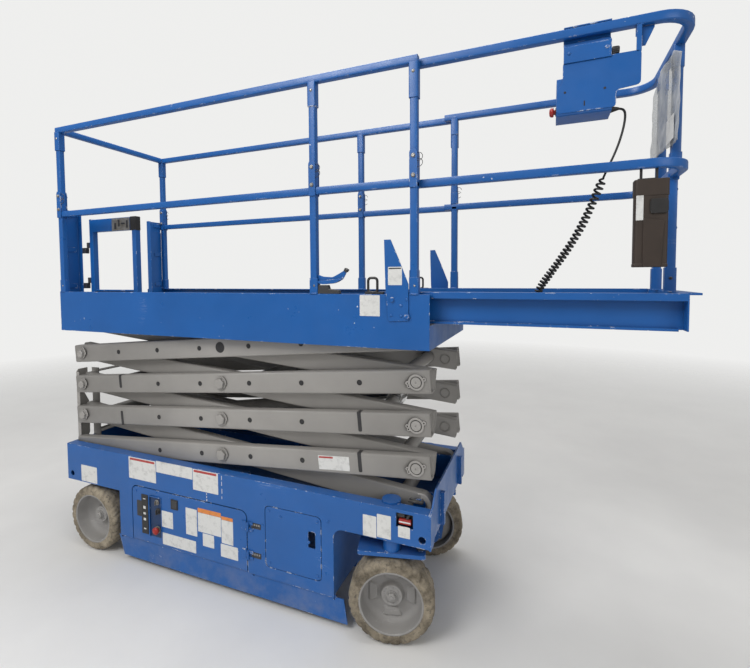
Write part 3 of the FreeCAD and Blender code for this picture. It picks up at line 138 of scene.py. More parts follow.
def eased(corners, reach, steps=4):
    """A closed outline with eased corners: (1-t)^2 a + 2 t (1-t) c + t^2 b, with a and b a reach from corner c."""
    c = np.asarray(corners, float)
    back, on = np.roll(c, 1, 0) - c, np.roll(c, -1, 0) - c
    back_len, on_len = np.linalg.norm(back, axis=1), np.linalg.norm(on, axis=1)
    cut = np.minimum(reach, 0.45 * np.minimum(back_len, on_len))
    a, b = c + back * (cut / back_len)[:, None], c + on * (cut / on_len)[:, None]
    t = np.linspace(0, 1, steps + 1)[None, :, None]
    return ((1 - t) ** 2 * a[:, None] + 2 * t * (1 - t) * c[:, None] + t ** 2 * b[:, None]).reshape(-1, 2)


def swept(outline, path, lift, closed=False, lids=True):
    """An outline carried along a flat path: path_i + x_j side_i / cos(half the turn) + y_j lift, where side_i is
    square to the mean of the two runs at point i and to lift."""
    path, lift = np.asarray(path, float), np.asarray(lift, float)
    after = np.roll(path, -1, 0) - path
    if not closed:
        after[-1] = path[-1] - path[-2]
    after /= np.linalg.norm(after, axis=1)[:, None]
    before = np.roll(after, 1, 0)
    if not closed:
        before[0] = after[0]
    mean = after + before
    mean /= np.linalg.norm(mean, axis=1)[:, None]
    stretch = 1 / np.sum(mean * after, axis=1)
    side = np.cross(mean, lift) * stretch[:, None]
    points = path[:, None] + outline[None, :, :1] * side[:, None] + outline[None, :, 1:] * lift
    return shell(points, rows_wrap=closed, lids=lids)


def plate(outline, low, high, axis="y"):
    """A flat outline with a thickness: the outline at low and again at high along the axis, with both faces."""
    outline = np.asarray(outline, float)
    levels = np.array([low, high])[:, None]
    u, v = np.broadcast_to(outline[:, 0], (2, len(outline))), np.broadcast_to(outline[:, 1], (2, len(outline)))
    w = np.broadcast_to(levels, u.shape)
    order = {"x": (w, u, v), "y": (u, w, v), "z": (u, v, w)}[axis]
    return shell(np.stack(order, -1))


def block(x0, x1, y0, y1, z0, z1):
    """A box as a plate: its rectangle in XZ from y0 to y1."""
    return plate([(x0, z0), (x1, z0), (x1, z1), (x0, z1)], y0, y1)


def rectangle(x0, x1, z0, z1):
    """The four corners of an upright rectangle."""
    return [(x0, z0), (x1, z0), (x1, z1), (x0, z1)]


def tube(start, end, lift=(0, 0, 1), width=RAIL, height=RAIL, radius=4.5):
    """A straight tube of rounded rectangular section between two points."""
    return swept(rounded_rectangle(width, height, radius), [start, end], lift)


def dome(radius, height, sides=12):
    """A round bolt head along +X: radius cos t, height sin t for t from 0 to a quarter turn, on a short skirt."""
    t = np.linspace(0, np.pi / 2, 5)
    profile = [(-0.5, radius)] + list(np.stack([0.5 + height * np.sin(t), radius * np.cos(t)], -1))
    return revolved(profile, sides)


def hexagon(across, height):
    """A bolt head or nut along +X: six flats, with the outer corners turned down."""
    r = across / math.sqrt(3)
    return revolved([(-0.5, r), (height * 0.8, r), (height, r * 0.86), (height, r * 0.3), (height * 0.93, 0)], 6)


def bolt(across, height, washer=0.0):
    """A hexagon bolt along +X on its washer."""
    head = hexagon(across, height)
    if not washer:
        return head
    disc = revolved([(-0.5, washer), (1.6, washer), (2.2, washer - 1), (2.2, 0)], 20)
    return gathered([disc, (head[0] + (2, 0, 0), head[1], head[2])])


def made(name, parts, finish, body, stands_for=(), bevel=0.0, segments=2, sharp=38.0, wall=0.0):
    """One piece of the machine from shapes, with its paint, the body that carries it and the nodes it stands for."""
    points, quads, lids = gathered(parts)
    mesh = bpy.data.meshes.new(name)
    mesh.from_pydata(((points + FRAME_SHIFT) / 1000).tolist(), [], quads.tolist() + [lid.tolist() for lid in lids])
    solid = bmesh.new()
    solid.from_mesh(mesh)
    bmesh.ops.remove_doubles(solid, verts=solid.verts, dist=2e-5)
    bmesh.ops.recalc_face_normals(solid, faces=solid.faces)
    solid.to_mesh(mesh)
    solid.free()
    mesh.shade_smooth()
    obj = bpy.data.objects.new(name, mesh)
    bpy.context.scene.collection.objects.link(obj)
    if wall:
        thick = obj.modifiers.new("Wall", "SOLIDIFY")
        thick.thickness, thick.offset = wall / 1000, -1
    if bevel:
        edge = obj.modifiers.new("Eased edges", "BEVEL")
        edge.width, edge.segments, edge.limit_method, edge.angle_limit = bevel / 1000, segments, "ANGLE", math.radians(sharp)
        edge.harden_normals = True
    else:
        mesh.set_sharp_from_angle(angle=math.radians(sharp))
    mesh.materials.append(bpy.data.materials[finish])
    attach(obj, body)
    if stands_for:
        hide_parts(*stands_for)
    return obj


# Paint: shared effects as node groups, and a material for each finish
def add(tree, kind, links=None, **values):
    """A node with its settings; links feed its inputs by name or number."""
    node = tree.nodes.new(kind)
    inputs = values.pop("inputs", {})
    for key, value in values.items():
        setattr(node, key, value)
    for key, value in inputs.items():
        node.inputs[key].default_value = value
    for key, source in (links or {}).items():
        tree.links.new(source, node.inputs[key])
    return node


def sum_up(tree, kind, a, b=None):
    """The result of one Math node; a and b are sockets or numbers."""
    node = tree.nodes.new("ShaderNodeMath")
    node.operation = kind
    for i, value in enumerate((a, b)):
        if value is None:
            continue
        if isinstance(value, bpy.types.NodeSocket):
            tree.links.new(value, node.inputs[i])
        else:
            node.inputs[i].default_value = value
    return node.outputs[0]


def ramp(tree, value, low, high, top=1.0):
    """The value carried from low..high to 0..top and held there."""
    node = add(tree, "ShaderNodeMapRange", {"Value": value}, inputs={"From Min": low, "From Max": high, "To Max": top})
    return node.outputs[0]


def noise(tree, vector, scale, detail=3.0, rough=0.55):
    """Fractal noise of a size in turns per metre."""
    links = {"Vector": vector} if vector else {}
    node = tree.nodes.new("ShaderNodeTexNoise")
    for key, source in links.items():
        tree.links.new(source, node.inputs[key])
    if isinstance(scale, bpy.types.NodeSocket):
        tree.links.new(scale, node.inputs["Scale"])
    else:
        node.inputs["Scale"].default_value = scale
    node.inputs["Detail"].default_value, node.inputs["Roughness"].default_value = detail, rough
    return node.outputs["Fac"]


def group(name, inputs, outputs):
    """An empty shared effect with its named inputs and outputs."""
    tree = bpy.data.node_groups.new(name, "ShaderNodeTree")
    for label, default in inputs:
        socket = tree.interface.new_socket(label, in_out="INPUT", socket_type="NodeSocketFloat")
        socket.default_value = default
    for label, kind in outputs:
        tree.interface.new_socket(label, in_out="OUTPUT", socket_type=kind)
    return tree, tree.nodes.new("NodeGroupInput").outputs, tree.nodes.new("NodeGroupOutput").inputs


def place(tree):
    """The point on the piece, in metres."""
    return tree.nodes.new("ShaderNodeTexCoord").outputs["Object"]


def worn_edges():
    """Mask of paint knocked off the edges and small knocks on faces, and a normal that rounds the edges."""
    tree, given, out = group("Worn edges", [("Radius", 0.002), ("Scale", 24.0), ("Amount", 1.0), ("Knocks", 1.0)],
                             [("Mask", "NodeSocketFloat"), ("Normal", "NodeSocketVector")])
    where = place(tree)
    eased_normal = add(tree, "ShaderNodeBevel", {"Radius": given["Radius"]}, samples=6).outputs[0]
    plain = tree.nodes.new("ShaderNodeNewGeometry").outputs["Normal"]
    wide = add(tree, "ShaderNodeBevel", {"Radius": sum_up(tree, "MULTIPLY", given["Radius"], 2.6)}, samples=4).outputs[0]
    agree = add(tree, "ShaderNodeVectorMath", {0: wide, 1: plain}, operation="DOT_PRODUCT").outputs["Value"]
    edge = ramp(tree, sum_up(tree, "SUBTRACT", 1.0, agree), 0.01, 0.08)
    chips = noise(tree, where, given["Scale"], 5.0, 0.7)
    stretch = ramp(tree, noise(tree, where, 3.0, 2.0), 0.35, 0.65, 0.07)
    broken = ramp(tree, sum_up(tree, "ADD", chips, stretch), 0.612, 0.642)
    rubbed = sum_up(tree, "MULTIPLY", sum_up(tree, "MULTIPLY", edge, broken), given["Amount"])
    knock = ramp(tree, noise(tree, where, 52.0, 2.0, 0.5), 0.735, 0.75)
    patch = ramp(tree, noise(tree, where, 2.2, 2.0), 0.54, 0.64)
    knocks = sum_up(tree, "MULTIPLY", sum_up(tree, "MULTIPLY", knock, patch), given["Knocks"])
    tree.links.new(sum_up(tree, "MAXIMUM", rubbed, knocks), out["Mask"])
    tree.links.new(eased_normal, out["Normal"])
    return tree


def settled_dust():
    """Mask of dust lying on what faces up, broken by a soft noise."""
    tree, given, out = group("Settled dust", [("Scale", 6.0), ("Amount", 1.0)], [("Mask", "NodeSocketFloat")])
    normal = tree.nodes.new("ShaderNodeNewGeometry").outputs["Normal"]
    up = add(tree, "ShaderNodeSeparateXYZ", {0: normal}).outputs["Z"]
    lies = ramp(tree, up, 0.35, 0.95)
    soft = ramp(tree, noise(tree, place(tree), given["Scale"], 5.0, 0.65), 0.3, 0.68)
    tree.links.new(sum_up(tree, "MULTIPLY", sum_up(tree, "MULTIPLY", lies, soft), given["Amount"]), out["Mask"])
    return tree


def scratches():
    """Mask of thin scratches: narrow bands of two noises drawn out along different directions, kept to patches."""
    tree, given, out = group("Scratches", [("Scale", 5.0), ("Amount", 1.0)], [("Mask", "NodeSocketFloat")])
    where = place(tree)
    lines = []
    for angle, stretch in ((0.18, (0.9, 5.0, 16.0)), (-0.5, (0.8, 6.0, 13.0))):
        spun = add(tree, "ShaderNodeMapping", {"Vector": where},
                   inputs={"Rotation": (0.0, angle, 0.0), "Scale": stretch}).outputs[0]
        drawn = noise(tree, spun, given["Scale"], 1.0, 0.4)
        off = sum_up(tree, "ABSOLUTE", sum_up(tree, "SUBTRACT", drawn, 0.5))
        lines.append(ramp(tree, off, 0.0045, 0.0015))
    patch = ramp(tree, noise(tree, where, 3.1, 2.0), 0.66, 0.72)
    both = sum_up(tree, "MULTIPLY", sum_up(tree, "MAXIMUM", *lines), patch)
    tree.links.new(sum_up(tree, "MULTIPLY", both, given["Amount"]), out["Mask"])
    return tree


def low_grime():
    """Mask of road dirt that thins out from a low height to a high one, in metres, through a ragged noise."""
    tree, given, out = group("Low grime", [("Low", 0.1), ("High", 0.4), ("Scale", 5.0), ("Amount", 1.0)],
                             [("Mask", "NodeSocketFloat")])
    where = place(tree)
    height = add(tree, "ShaderNodeSeparateXYZ", {0: where}).outputs["Z"]
    rise = add(tree, "ShaderNodeMapRange", {"Value": height, "From Min": given["High"], "From Max": given["Low"]}).outputs[0]
    ragged = ramp(tree, noise(tree, where, given["Scale"], 6.0, 0.7), 0.42, 0.66)
    tree.links.new(sum_up(tree, "MULTIPLY", sum_up(tree, "MULTIPLY", rise, ragged), given["Amount"]), out["Mask"])
    return tree


def grain():
    """Height of a fine skin, such as orange peel in paint or moulded plastic."""
    tree, given, out = group("Grain", [("Scale", 400.0)], [("Height", "NodeSocketFloat")])
    tree.links.new(noise(tree, place(tree), given["Scale"], 2.0, 0.5), out["Height"])
    return tree


def effect(tree, name, **values):
    """A shared effect placed in a material with its own values."""
    node = tree.nodes.new("ShaderNodeGroup")
    node.node_tree = bpy.data.node_groups[name]
    for label, value in values.items():
        node.inputs[label.replace("_", " ")].default_value = value
    return node


def blended(tree, under, over, mask):
    """One colour laid over another by a mask."""
    node = tree.nodes.new("ShaderNodeMix")
    node.data_type = "RGBA"
    for socket, value in ((node.inputs[6], under), (node.inputs[7], over)):
        if isinstance(value, bpy.types.NodeSocket):
            tree.links.new(value, socket)
        else:
            socket.default_value = (*value, 1.0)
    tree.links.new(mask, node.inputs[0])
    return node.outputs[2]


def material(name):
    """A new material with its shader and output."""
    made_material = bpy.data.materials.new(name)
    made_material.use_nodes = True
    tree = made_material.node_tree
    return made_material, tree, tree.nodes["Principled BSDF"]


def relief(tree, shader, height, strength, distance, normal=None):
    """A bump that feeds the shader's normal."""
    node = add(tree, "ShaderNodeBump", {"Height": height}, inputs={"Strength": strength, "Distance": distance})
    if normal is not None:
        tree.links.new(normal, node.inputs["Normal"])
    tree.links.new(node.outputs[0], shader.inputs["Normal"])


def painted(name, colour, rough, bare, edge=1.0, knocks=1.0, radius=0.002, dust=0.5, dust_colour=(0.30, 0.28, 0.25),
            scratch=1.0, grime=0.0, grime_low=0.0, grime_high=0.5, metallic=0.0, peel=0.05, shade=0.82, crevice_shade=0.5):
    """Sprayed paint: two shades of the colour, dust, dirt, scratches and worn edges, each with its own roughness, and
    painted shade that darkens the crevices.
    """
    made_material, tree, shader = material(name)
    where = place(tree)
    tone = ramp(tree, noise(tree, where, 3.0, 4.0), 0.3, 0.7)
    base = blended(tree, [c * shade for c in colour], colour, tone)
    lying = effect(tree, "Settled dust", Scale=7.0, Amount=dust).outputs[0]
    base = blended(tree, base, dust_colour, lying)
    gloss = sum_up(tree, "ADD", ramp(tree, noise(tree, where, 11.0, 5.0, 0.6), 0.3, 0.7, 0.16), rough)
    gloss = sum_up(tree, "ADD", gloss, sum_up(tree, "MULTIPLY", lying, 0.35))
    if grime:
        dirt = effect(tree, "Low grime", Low=grime_low, High=grime_high, Scale=9.0, Amount=grime).outputs[0]
        base = blended(tree, base, (0.33, 0.32, 0.31), dirt)
        gloss = sum_up(tree, "ADD", gloss, sum_up(tree, "MULTIPLY", dirt, 0.3))
    # Painted shade: ambient occlusion darkens the paint to a quarter of its colour in crevices and tight corners.
    ao_shade = add(tree, "ShaderNodeAmbientOcclusion", inputs={"Distance": 0.02}, samples=4).outputs["AO"]
    base = blended(tree, base, [c * 0.25 for c in colour], ramp(tree, ao_shade, 0.8, 0.35, crevice_shade))
    lines = effect(tree, "Scratches", Amount=scratch).outputs[0]
    base = blended(tree, base, [min(1.0, 0.25 + c) for c in bare], sum_up(tree, "MULTIPLY", lines, 0.7))
    worn = effect(tree, "Worn edges", Radius=radius, Amount=edge, Knocks=knocks)
    base = blended(tree, base, bare, worn.outputs["Mask"])
    tree.links.new(base, shader.inputs["Base Color"])
    tree.links.new(gloss, shader.inputs["Roughness"])
    shader.inputs["Metallic"].default_value = metallic
    skin = effect(tree, "Grain", Scale=170.0).outputs[0]
    skin = sum_up(tree, "SUBTRACT", skin, sum_up(tree, "MULTIPLY", worn.outputs["Mask"], 0.6))
    relief(tree, shader, skin, peel, 0.001, worn.outputs["Normal"])
    return made_material


def plain_metal(name, colour, rough, stain, metallic=1.0, spread=0.25):
    """Bare or plated metal: stained in patches, with fine turning marks in its roughness."""
    made_material, tree, shader = material(name)
    where = place(tree)
    patch = ramp(tree, noise(tree, where, 24.0, 5.0, 0.65), 0.42, 0.66)
    tree.links.new(blended(tree, colour, stain, patch), shader.inputs["Base Color"])
    fine = ramp(tree, noise(tree, where, 190.0, 2.0), 0.2, 0.8, spread)
    tree.links.new(sum_up(tree, "ADD", sum_up(tree, "ADD", fine, rough), sum_up(tree, "MULTIPLY", patch, 0.15)),
                   shader.inputs["Roughness"])
    shader.inputs["Metallic"].default_value = metallic
    worn = effect(tree, "Worn edges", Radius=0.0012, Amount=0.0, Knocks=0.0)
    relief(tree, shader, effect(tree, "Grain", Scale=300.0).outputs[0], 0.12, 0.0006, worn.outputs["Normal"])
    return made_material


def moulded(name, colour, rough, dust=0.35, grain_size=520.0, depth=0.25, worn_colour=None):
    """Moulded plastic or rubber: fine grain, paler where it is rubbed, dust on top."""
    made_material, tree, shader = material(name)
    tone = ramp(tree, noise(tree, place(tree), 14.0, 4.0), 0.3, 0.7)
    base = blended(tree, [c * 0.75 for c in colour], colour, tone)
    lying = effect(tree, "Settled dust", Scale=14.0, Amount=dust).outputs[0]
    base = blended(tree, base, (0.28, 0.26, 0.23), lying)
    worn = effect(tree, "Worn edges", Radius=0.0012, Scale=26.0, Amount=0.5 if worn_colour else 0.0, Knocks=0.0)
    base = blended(tree, base, worn_colour or colour, worn.outputs["Mask"])
    tree.links.new(base, shader.inputs["Base Color"])
    tree.links.new(sum_up(tree, "ADD", sum_up(tree, "MULTIPLY", tone, 0.12), rough), shader.inputs["Roughness"])
    relief(tree, shader, effect(tree, "Grain", Scale=grain_size).outputs[0], depth, 0.0006, worn.outputs["Normal"])
    return made_material


def tyre_rubber():
    """Pale solid rubber: tan in cloudy patches with dark specks, painted shade darkening the hollows, grey where it
    rolls, small cuts and a coarse skin.
    """
    made_material, tree, shader = material("Tyre rubber")
    where = place(tree)
    cloudy = ramp(tree, noise(tree, where, 13.0, 6.0, 0.7), 0.33, 0.66)
    base = blended(tree, (0.092, 0.075, 0.053), (0.385, 0.330, 0.245), cloudy)
    speck = ramp(tree, noise(tree, where, 70.0, 3.0, 0.7), 0.58, 0.66)
    base = blended(tree, base, (0.075, 0.068, 0.058), sum_up(tree, "MULTIPLY", speck, 0.7))
    # Painted shade: ambient occlusion darkens the notches and hollows to near black.
    ao_shade = add(tree, "ShaderNodeAmbientOcclusion", inputs={"Distance": 0.012}, samples=4).outputs["AO"]
    base = blended(tree, base, (0.07, 0.062, 0.052), ramp(tree, ao_shade, 0.75, 0.35))
    worn = effect(tree, "Worn edges", Radius=0.003, Scale=30.0, Amount=0.8, Knocks=0.0)
    base = blended(tree, base, (0.55, 0.51, 0.43), worn.outputs["Mask"])
    tree.links.new(base, shader.inputs["Base Color"])
    shader.inputs["Roughness"].default_value = 0.9
    skin = sum_up(tree, "ADD", noise(tree, where, 60.0, 6.0, 0.7), cloudy)
    relief(tree, shader, skin, 0.5, 0.002, worn.outputs["Normal"])
    return made_material


def cloudy_sheet():
    """A scratched clear plastic sheet gone milky: partly see-through, thicker haze in its scuffs."""
    made_material, tree, shader = material("Cloudy sheet")
    where = place(tree)
    haze = ramp(tree, noise(tree, where, 7.0, 6.0, 0.6), 0.35, 0.68)
    lines = effect(tree, "Scratches", Scale=9.0, Amount=1.0).outputs[0]
    milk = sum_up(tree, "MAXIMUM", haze, lines)
    tree.links.new(blended(tree, (0.34, 0.36, 0.37), (0.66, 0.67, 0.67), milk), shader.inputs["Base Color"])
    tree.links.new(sum_up(tree, "ADD", sum_up(tree, "MULTIPLY", milk, 0.30), 0.42), shader.inputs["Alpha"])
    tree.links.new(sum_up(tree, "ADD", sum_up(tree, "MULTIPLY", milk, 0.4), 0.18), shader.inputs["Roughness"])
    relief(tree, shader, noise(tree, where, 9.0, 3.0), 0.3, 0.01)
    return made_material


def vinyl(name, colour, head=None):
    """A blank label: vinyl gone a little dirty, with scuffed patches."""
    made_material, tree, shader = material(name)
    where = place(tree)
    dirt = ramp(tree, noise(tree, where, 30.0, 6.0, 0.7), 0.5, 0.72)
    base = blended(tree, colour, [c * 0.68 for c in colour], dirt)
    lines = effect(tree, "Scratches", Scale=16.0, Amount=0.8).outputs[0]
    tree.links.new(blended(tree, base, [c * 0.5 for c in colour], lines), shader.inputs["Base Color"])
    tree.links.new(sum_up(tree, "ADD", sum_up(tree, "MULTIPLY", dirt, 0.3), 0.35), shader.inputs["Roughness"])
    relief(tree, shader, effect(tree, "Grain", Scale=240.0).outputs[0], 0.05, 0.0004)
    return made_material


class LiftSizes(bpy.types.PropertyGroup):
    """Sizes a user may change before the pieces are built."""

    rail_corner: bpy.props.FloatProperty(name="Rail corner", description="Corner radius of the guard rails' square tube",
                                         default=0.0045, min=0.001, max=0.01, unit="LENGTH")
    arm_corner: bpy.props.FloatProperty(name="Arm corner", description="Corner radius of the scissor arms' tube",
                                        default=0.009, min=0.002, max=0.02, unit="LENGTH")
    tread_depth: bpy.props.FloatProperty(name="Notch depth", description="Depth of the notches in the tyres' shoulders",
                                         default=0.0045, min=0.0, max=0.01, unit="LENGTH")
    lead_turns: bpy.props.IntProperty(name="Lead turns", description="Turns of the curly lead to the platform controls",
                                      default=34, min=10, max=60)


class LiftColours(bpy.types.PropertyGroup):
    """Colours a user may change before the pieces are built."""

    paint: bpy.props.FloatVectorProperty(name="Body paint", description="Paint of the chassis, platform and rails",
                                         subtype="COLOR", size=3, min=0, max=1, default=(0.0095, 0.114, 0.400))
    arms: bpy.props.FloatVectorProperty(name="Arm paint", description="Paint of the scissor arms",
                                        subtype="COLOR", size=3, min=0, max=1, default=(0.365, 0.350, 0.330))
    chip: bpy.props.FloatVectorProperty(name="Chips", description="Primer and bare steel where the paint is knocked off",
                                        subtype="COLOR", size=3, min=0, max=1, default=(0.70, 0.73, 0.78))


def sizes():
    """The sizes of this scene."""
    return bpy.context.scene.lift_sizes


class LIFT_OT_finishes(bpy.types.Operator):
    """Make every finish and paint the solids of the frame"""

    bl_idname = "lift.finishes"
    bl_label = "Finishes"

    def execute(self, context):
        colours = context.scene.lift_colours
        blue, chip = tuple(colours.paint), tuple(colours.chip)
        for build in (worn_edges, settled_dust, scratches, low_grime, grain):
            build()
        painted("Blue paint", blue, 0.27, chip, grime=0.28, grime_low=0.05, grime_high=0.24, dust=0.16, scratch=0.35, shade=0.86)
        painted("Shadowed blue", [c * 0.3 for c in blue], 0.4, chip, edge=0.3, knocks=0.2, dust=0.1, scratch=0.1)
        painted("Arm paint", tuple(colours.arms), 0.36, (0.42, 0.40, 0.38), edge=0.7, knocks=0.3, dust=0.30,
                dust_colour=(0.34, 0.31, 0.28), shade=0.84, scratch=0.3, crevice_shade=0.85)
        painted("Rim paint", (0.33, 0.32, 0.31), 0.48, (0.50, 0.48, 0.45), edge=0.9, knocks=0.8, grime=0.9,
                grime_low=0.0, grime_high=0.34, dust=0.5, shade=0.7)
        painted("Grey floor", (0.13, 0.13, 0.135), 0.6, (0.35, 0.35, 0.35), edge=0.5, knocks=0.6, dust=0.8, peel=0.5)
        painted("Dark steel", (0.045, 0.045, 0.048), 0.42, (0.22, 0.21, 0.20), edge=0.8, knocks=0.2, dust=0.55)
        plain_metal("Zinc", (0.42, 0.41, 0.39), 0.30, (0.24, 0.22, 0.19))
        plain_metal("Chrome", (0.70, 0.71, 0.72), 0.06, (0.58, 0.57, 0.55), spread=0.06)
        moulded("Nylon", (0.10, 0.095, 0.09), 0.5)
        moulded("Black plastic", (0.022, 0.021, 0.021), 0.42, worn_colour=(0.10, 0.10, 0.10))
        moulded("Battery case", (0.03, 0.03, 0.032), 0.5, dust=0.7)
        moulded("Lead rubber", (0.012, 0.012, 0.012), 0.38, dust=0.12, depth=0.1)
        moulded("Red plastic", (0.42, 0.022, 0.016), 0.34, dust=0.12, depth=0.08, worn_colour=(0.5, 0.12, 0.09))
        moulded("Brown box", (0.040, 0.026, 0.018), 0.5, worn_colour=(0.12, 0.09, 0.07))
        vinyl("Blank vinyl", (0.72, 0.72, 0.70))
        vinyl("Amber vinyl", (0.74, 0.25, 0.055))
        vinyl("Red vinyl", (0.45, 0.05, 0.045))
        # This dark finish serves both real dark print and painted shade in holes, slots and gaps.
        vinyl("Dark vinyl and painted shade", (0.03, 0.03, 0.032))
        tyre_rubber()
        cloudy_sheet()
        finish_of = {"blue_paint": "Blue paint", "arm_paint": "Arm paint", "rim_paint": "Rim paint",
                     "floor_grey": "Grey floor", "dark_steel": "Dark steel", "zinc": "Zinc", "chrome": "Chrome",
                     "tyre": "Tyre rubber", "nylon": "Nylon", "battery_case": "Battery case",
                     "black_plastic": "Black plastic", "clear_sheet": "Cloudy sheet", "cord": "Lead rubber"}
        for node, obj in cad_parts.items():
            chosen = bpy.data.materials[finish_of[NODE_SLOTS.get(node, "blue_paint")]]
            for slot in obj.material_slots:
                slot.material = chosen
        return {"FINISHED"}


NODE_SLOTS = {"pump_unit": "dark_steel", "track_rod": "dark_steel", "lift_barrel": "arm_paint", "lift_rod": "chrome",
              "lower_slide_blocks": "nylon", "upper_slide_blocks": "nylon", "deck_guides": "nylon",
              "batteries": "battery_case", "platform_socket": "black_plastic", "platform_floor": "floor_grey",
              "deck_floor": "floor_grey", "entry_ladder": "arm_paint"}


class LIFT_OT_stage(bpy.types.Operator):
    """Set the camera, the soft lights and the pale floor"""

    bl_idname = "lift.stage"
    bl_label = "Stage"

    def execute(self, context):
        scene = context.scene
        scene.view_settings.view_transform = "Standard"
        eye = bpy.data.cameras.new("Camera")
        camera = bpy.data.objects.new("Camera", eye)
        scene.collection.objects.link(camera)
        scene.camera = camera
        yaw, pitch, roll = -0.3973, 0.0492, -0.007
        ahead = Vector((math.sin(yaw) * math.cos(pitch), math.cos(yaw) * math.cos(pitch), -math.sin(pitch)))
        right = Vector((math.cos(yaw), -math.sin(yaw), 0))
        up = right.cross(ahead)
        right_rolled = right * math.cos(roll) + up * math.sin(roll)
        up_rolled = up * math.cos(roll) - right * math.sin(roll)
        turn = Matrix((right_rolled, up_rolled, -ahead)).transposed()
        camera.matrix_world = Matrix.Translation((1.0940, -2.1920, 1.6093)) @ turn.to_4x4()
        eye.sensor_width = 36.0
        eye.lens = 449.7 * 36.0 / 750.0
        eye.shift_x, eye.shift_y = 16.55 / 750.0, -34.03 / 750.0
        eye.clip_start, eye.clip_end = 0.02, 200.0

        world = bpy.data.worlds.new("Studio")
        scene.world = world
        world.use_nodes = True
        tree = world.node_tree
        back = tree.nodes["Background"]
        back.inputs["Color"].default_value = (1.0, 0.99, 0.975, 1.0)
        back.inputs["Strength"].default_value = 0.36
        shown = add(tree, "ShaderNodeBackground", inputs={"Color": (0.86, 0.86, 0.85, 1.0), "Strength": 1.0})
        rays = tree.nodes.new("ShaderNodeLightPath").outputs
        seen = sum_up(tree, "MAXIMUM", rays["Is Camera Ray"], rays["Is Transmission Ray"])
        mix = add(tree, "ShaderNodeMixShader", {0: seen, 1: back.outputs[0], 2: shown.outputs[0]})
        tree.links.new(mix.outputs[0], tree.nodes["World Output"].inputs["Surface"])

        for name, spot, aim, size, power in (("Key", (-1.4, -4.2, 5.0), (0.0, 0.0, 1.0), 2.6, 175.0),
                                             ("Fill", (4.6, -3.4, 3.0), (0.4, 0.0, 1.2), 2.6, 44.0),
                                             ("Top", (0.0, 0.6, 5.6), (0.0, 0.0, 1.2), 3.6, 150.0)):
            lamp = bpy.data.lights.new(name, "AREA")
            lamp.size, lamp.energy = size, power
            obj = bpy.data.objects.new(name, lamp)
            scene.collection.objects.link(obj)
            obj.location = spot
            obj.rotation_euler = (Vector(aim) - Vector(spot)).to_track_quat("-Z", "Y").to_euler()

        mesh = bpy.data.meshes.new("studio_floor")
        mesh.from_pydata([(-40, -40, 0), (40, -40, 0), (40, 40, 0), (-40, 40, 0)], [], [(0, 1, 2, 3)])
        floor = bpy.data.objects.new("studio_floor", mesh)
        scene.collection.objects.link(floor)
        made_material, tree, shader = material("Pale floor")
        cloud = ramp(tree, noise(tree, place(tree), 1.3, 5.0), 0.3, 0.7)
        tree.links.new(blended(tree, (0.74, 0.735, 0.725), (0.81, 0.805, 0.79), cloud), shader.inputs["Base Color"])
        shader.inputs["Roughness"].default_value = 0.6
        far = add(tree, "ShaderNodeVectorMath", {0: place(tree)}, operation="LENGTH").outputs["Value"]
        tree.links.new(ramp(tree, far, 9.5, 2.8), shader.inputs["Alpha"])
        mesh.materials.append(made_material)
        return {"FINISHED"}


# The curly lead's route, as in the solid but from a gland 25 mm higher: straight down, then in turns to the socket on the deck
LEAD_ROUTE = ((1775.3, -300, 2213), (1793, -300, 2212), (1802, -300, 2191), (1796, -299, 2140), (1778, -298, 2074),
              (1752, -298, 2012), (1735, -298, 1972))
COIL_ROUTE = ((1734.4, -298, 1970.6), (1705, -297, 1890), (1668, -295, 1800), (1620, -291, 1712), (1560, -285, 1622),
              (1515, -279, 1556), (1502, -276, 1498))
LEAD_THICK, COIL_RADIUS = 8.0, 12.0


def spline_curve(name, points, thick=0.0):
    """An open NURBS curve of order 3 through the frame with these control points, in metres."""
    curve = bpy.data.curves.new(name, "CURVE")
    curve.dimensions, curve.resolution_u = "3D", 8
    line = curve.splines.new("NURBS")
    line.points.add(len(points) - 1)
    flat = np.column_stack([points, np.ones(len(points))])
    line.points.foreach_set("co", flat.ravel())
    line.order_u = 3
    line.use_endpoint_u = True
    curve.bevel_depth, curve.bevel_resolution = thick / 2, 3
    curve.use_fill_caps = True
    return curve


def read_line(points):
    """The points along the NURBS of a route, in order, as Blender gives them for a curve with no bevel."""
    guide = bpy.data.objects.new("route_guide", spline_curve("route_guide", points))
    bpy.context.scene.collection.objects.link(guide)
    bpy.context.view_layer.update()
    mesh = bpy.data.meshes.new_from_object(guide.evaluated_get(bpy.context.evaluated_depsgraph_get()))
    line = np.empty(len(mesh.vertices) * 3)
    mesh.vertices.foreach_get("co", line)
    bpy.data.objects.remove(guide)
    bpy.data.meshes.remove(mesh)
    return line.reshape(-1, 3)


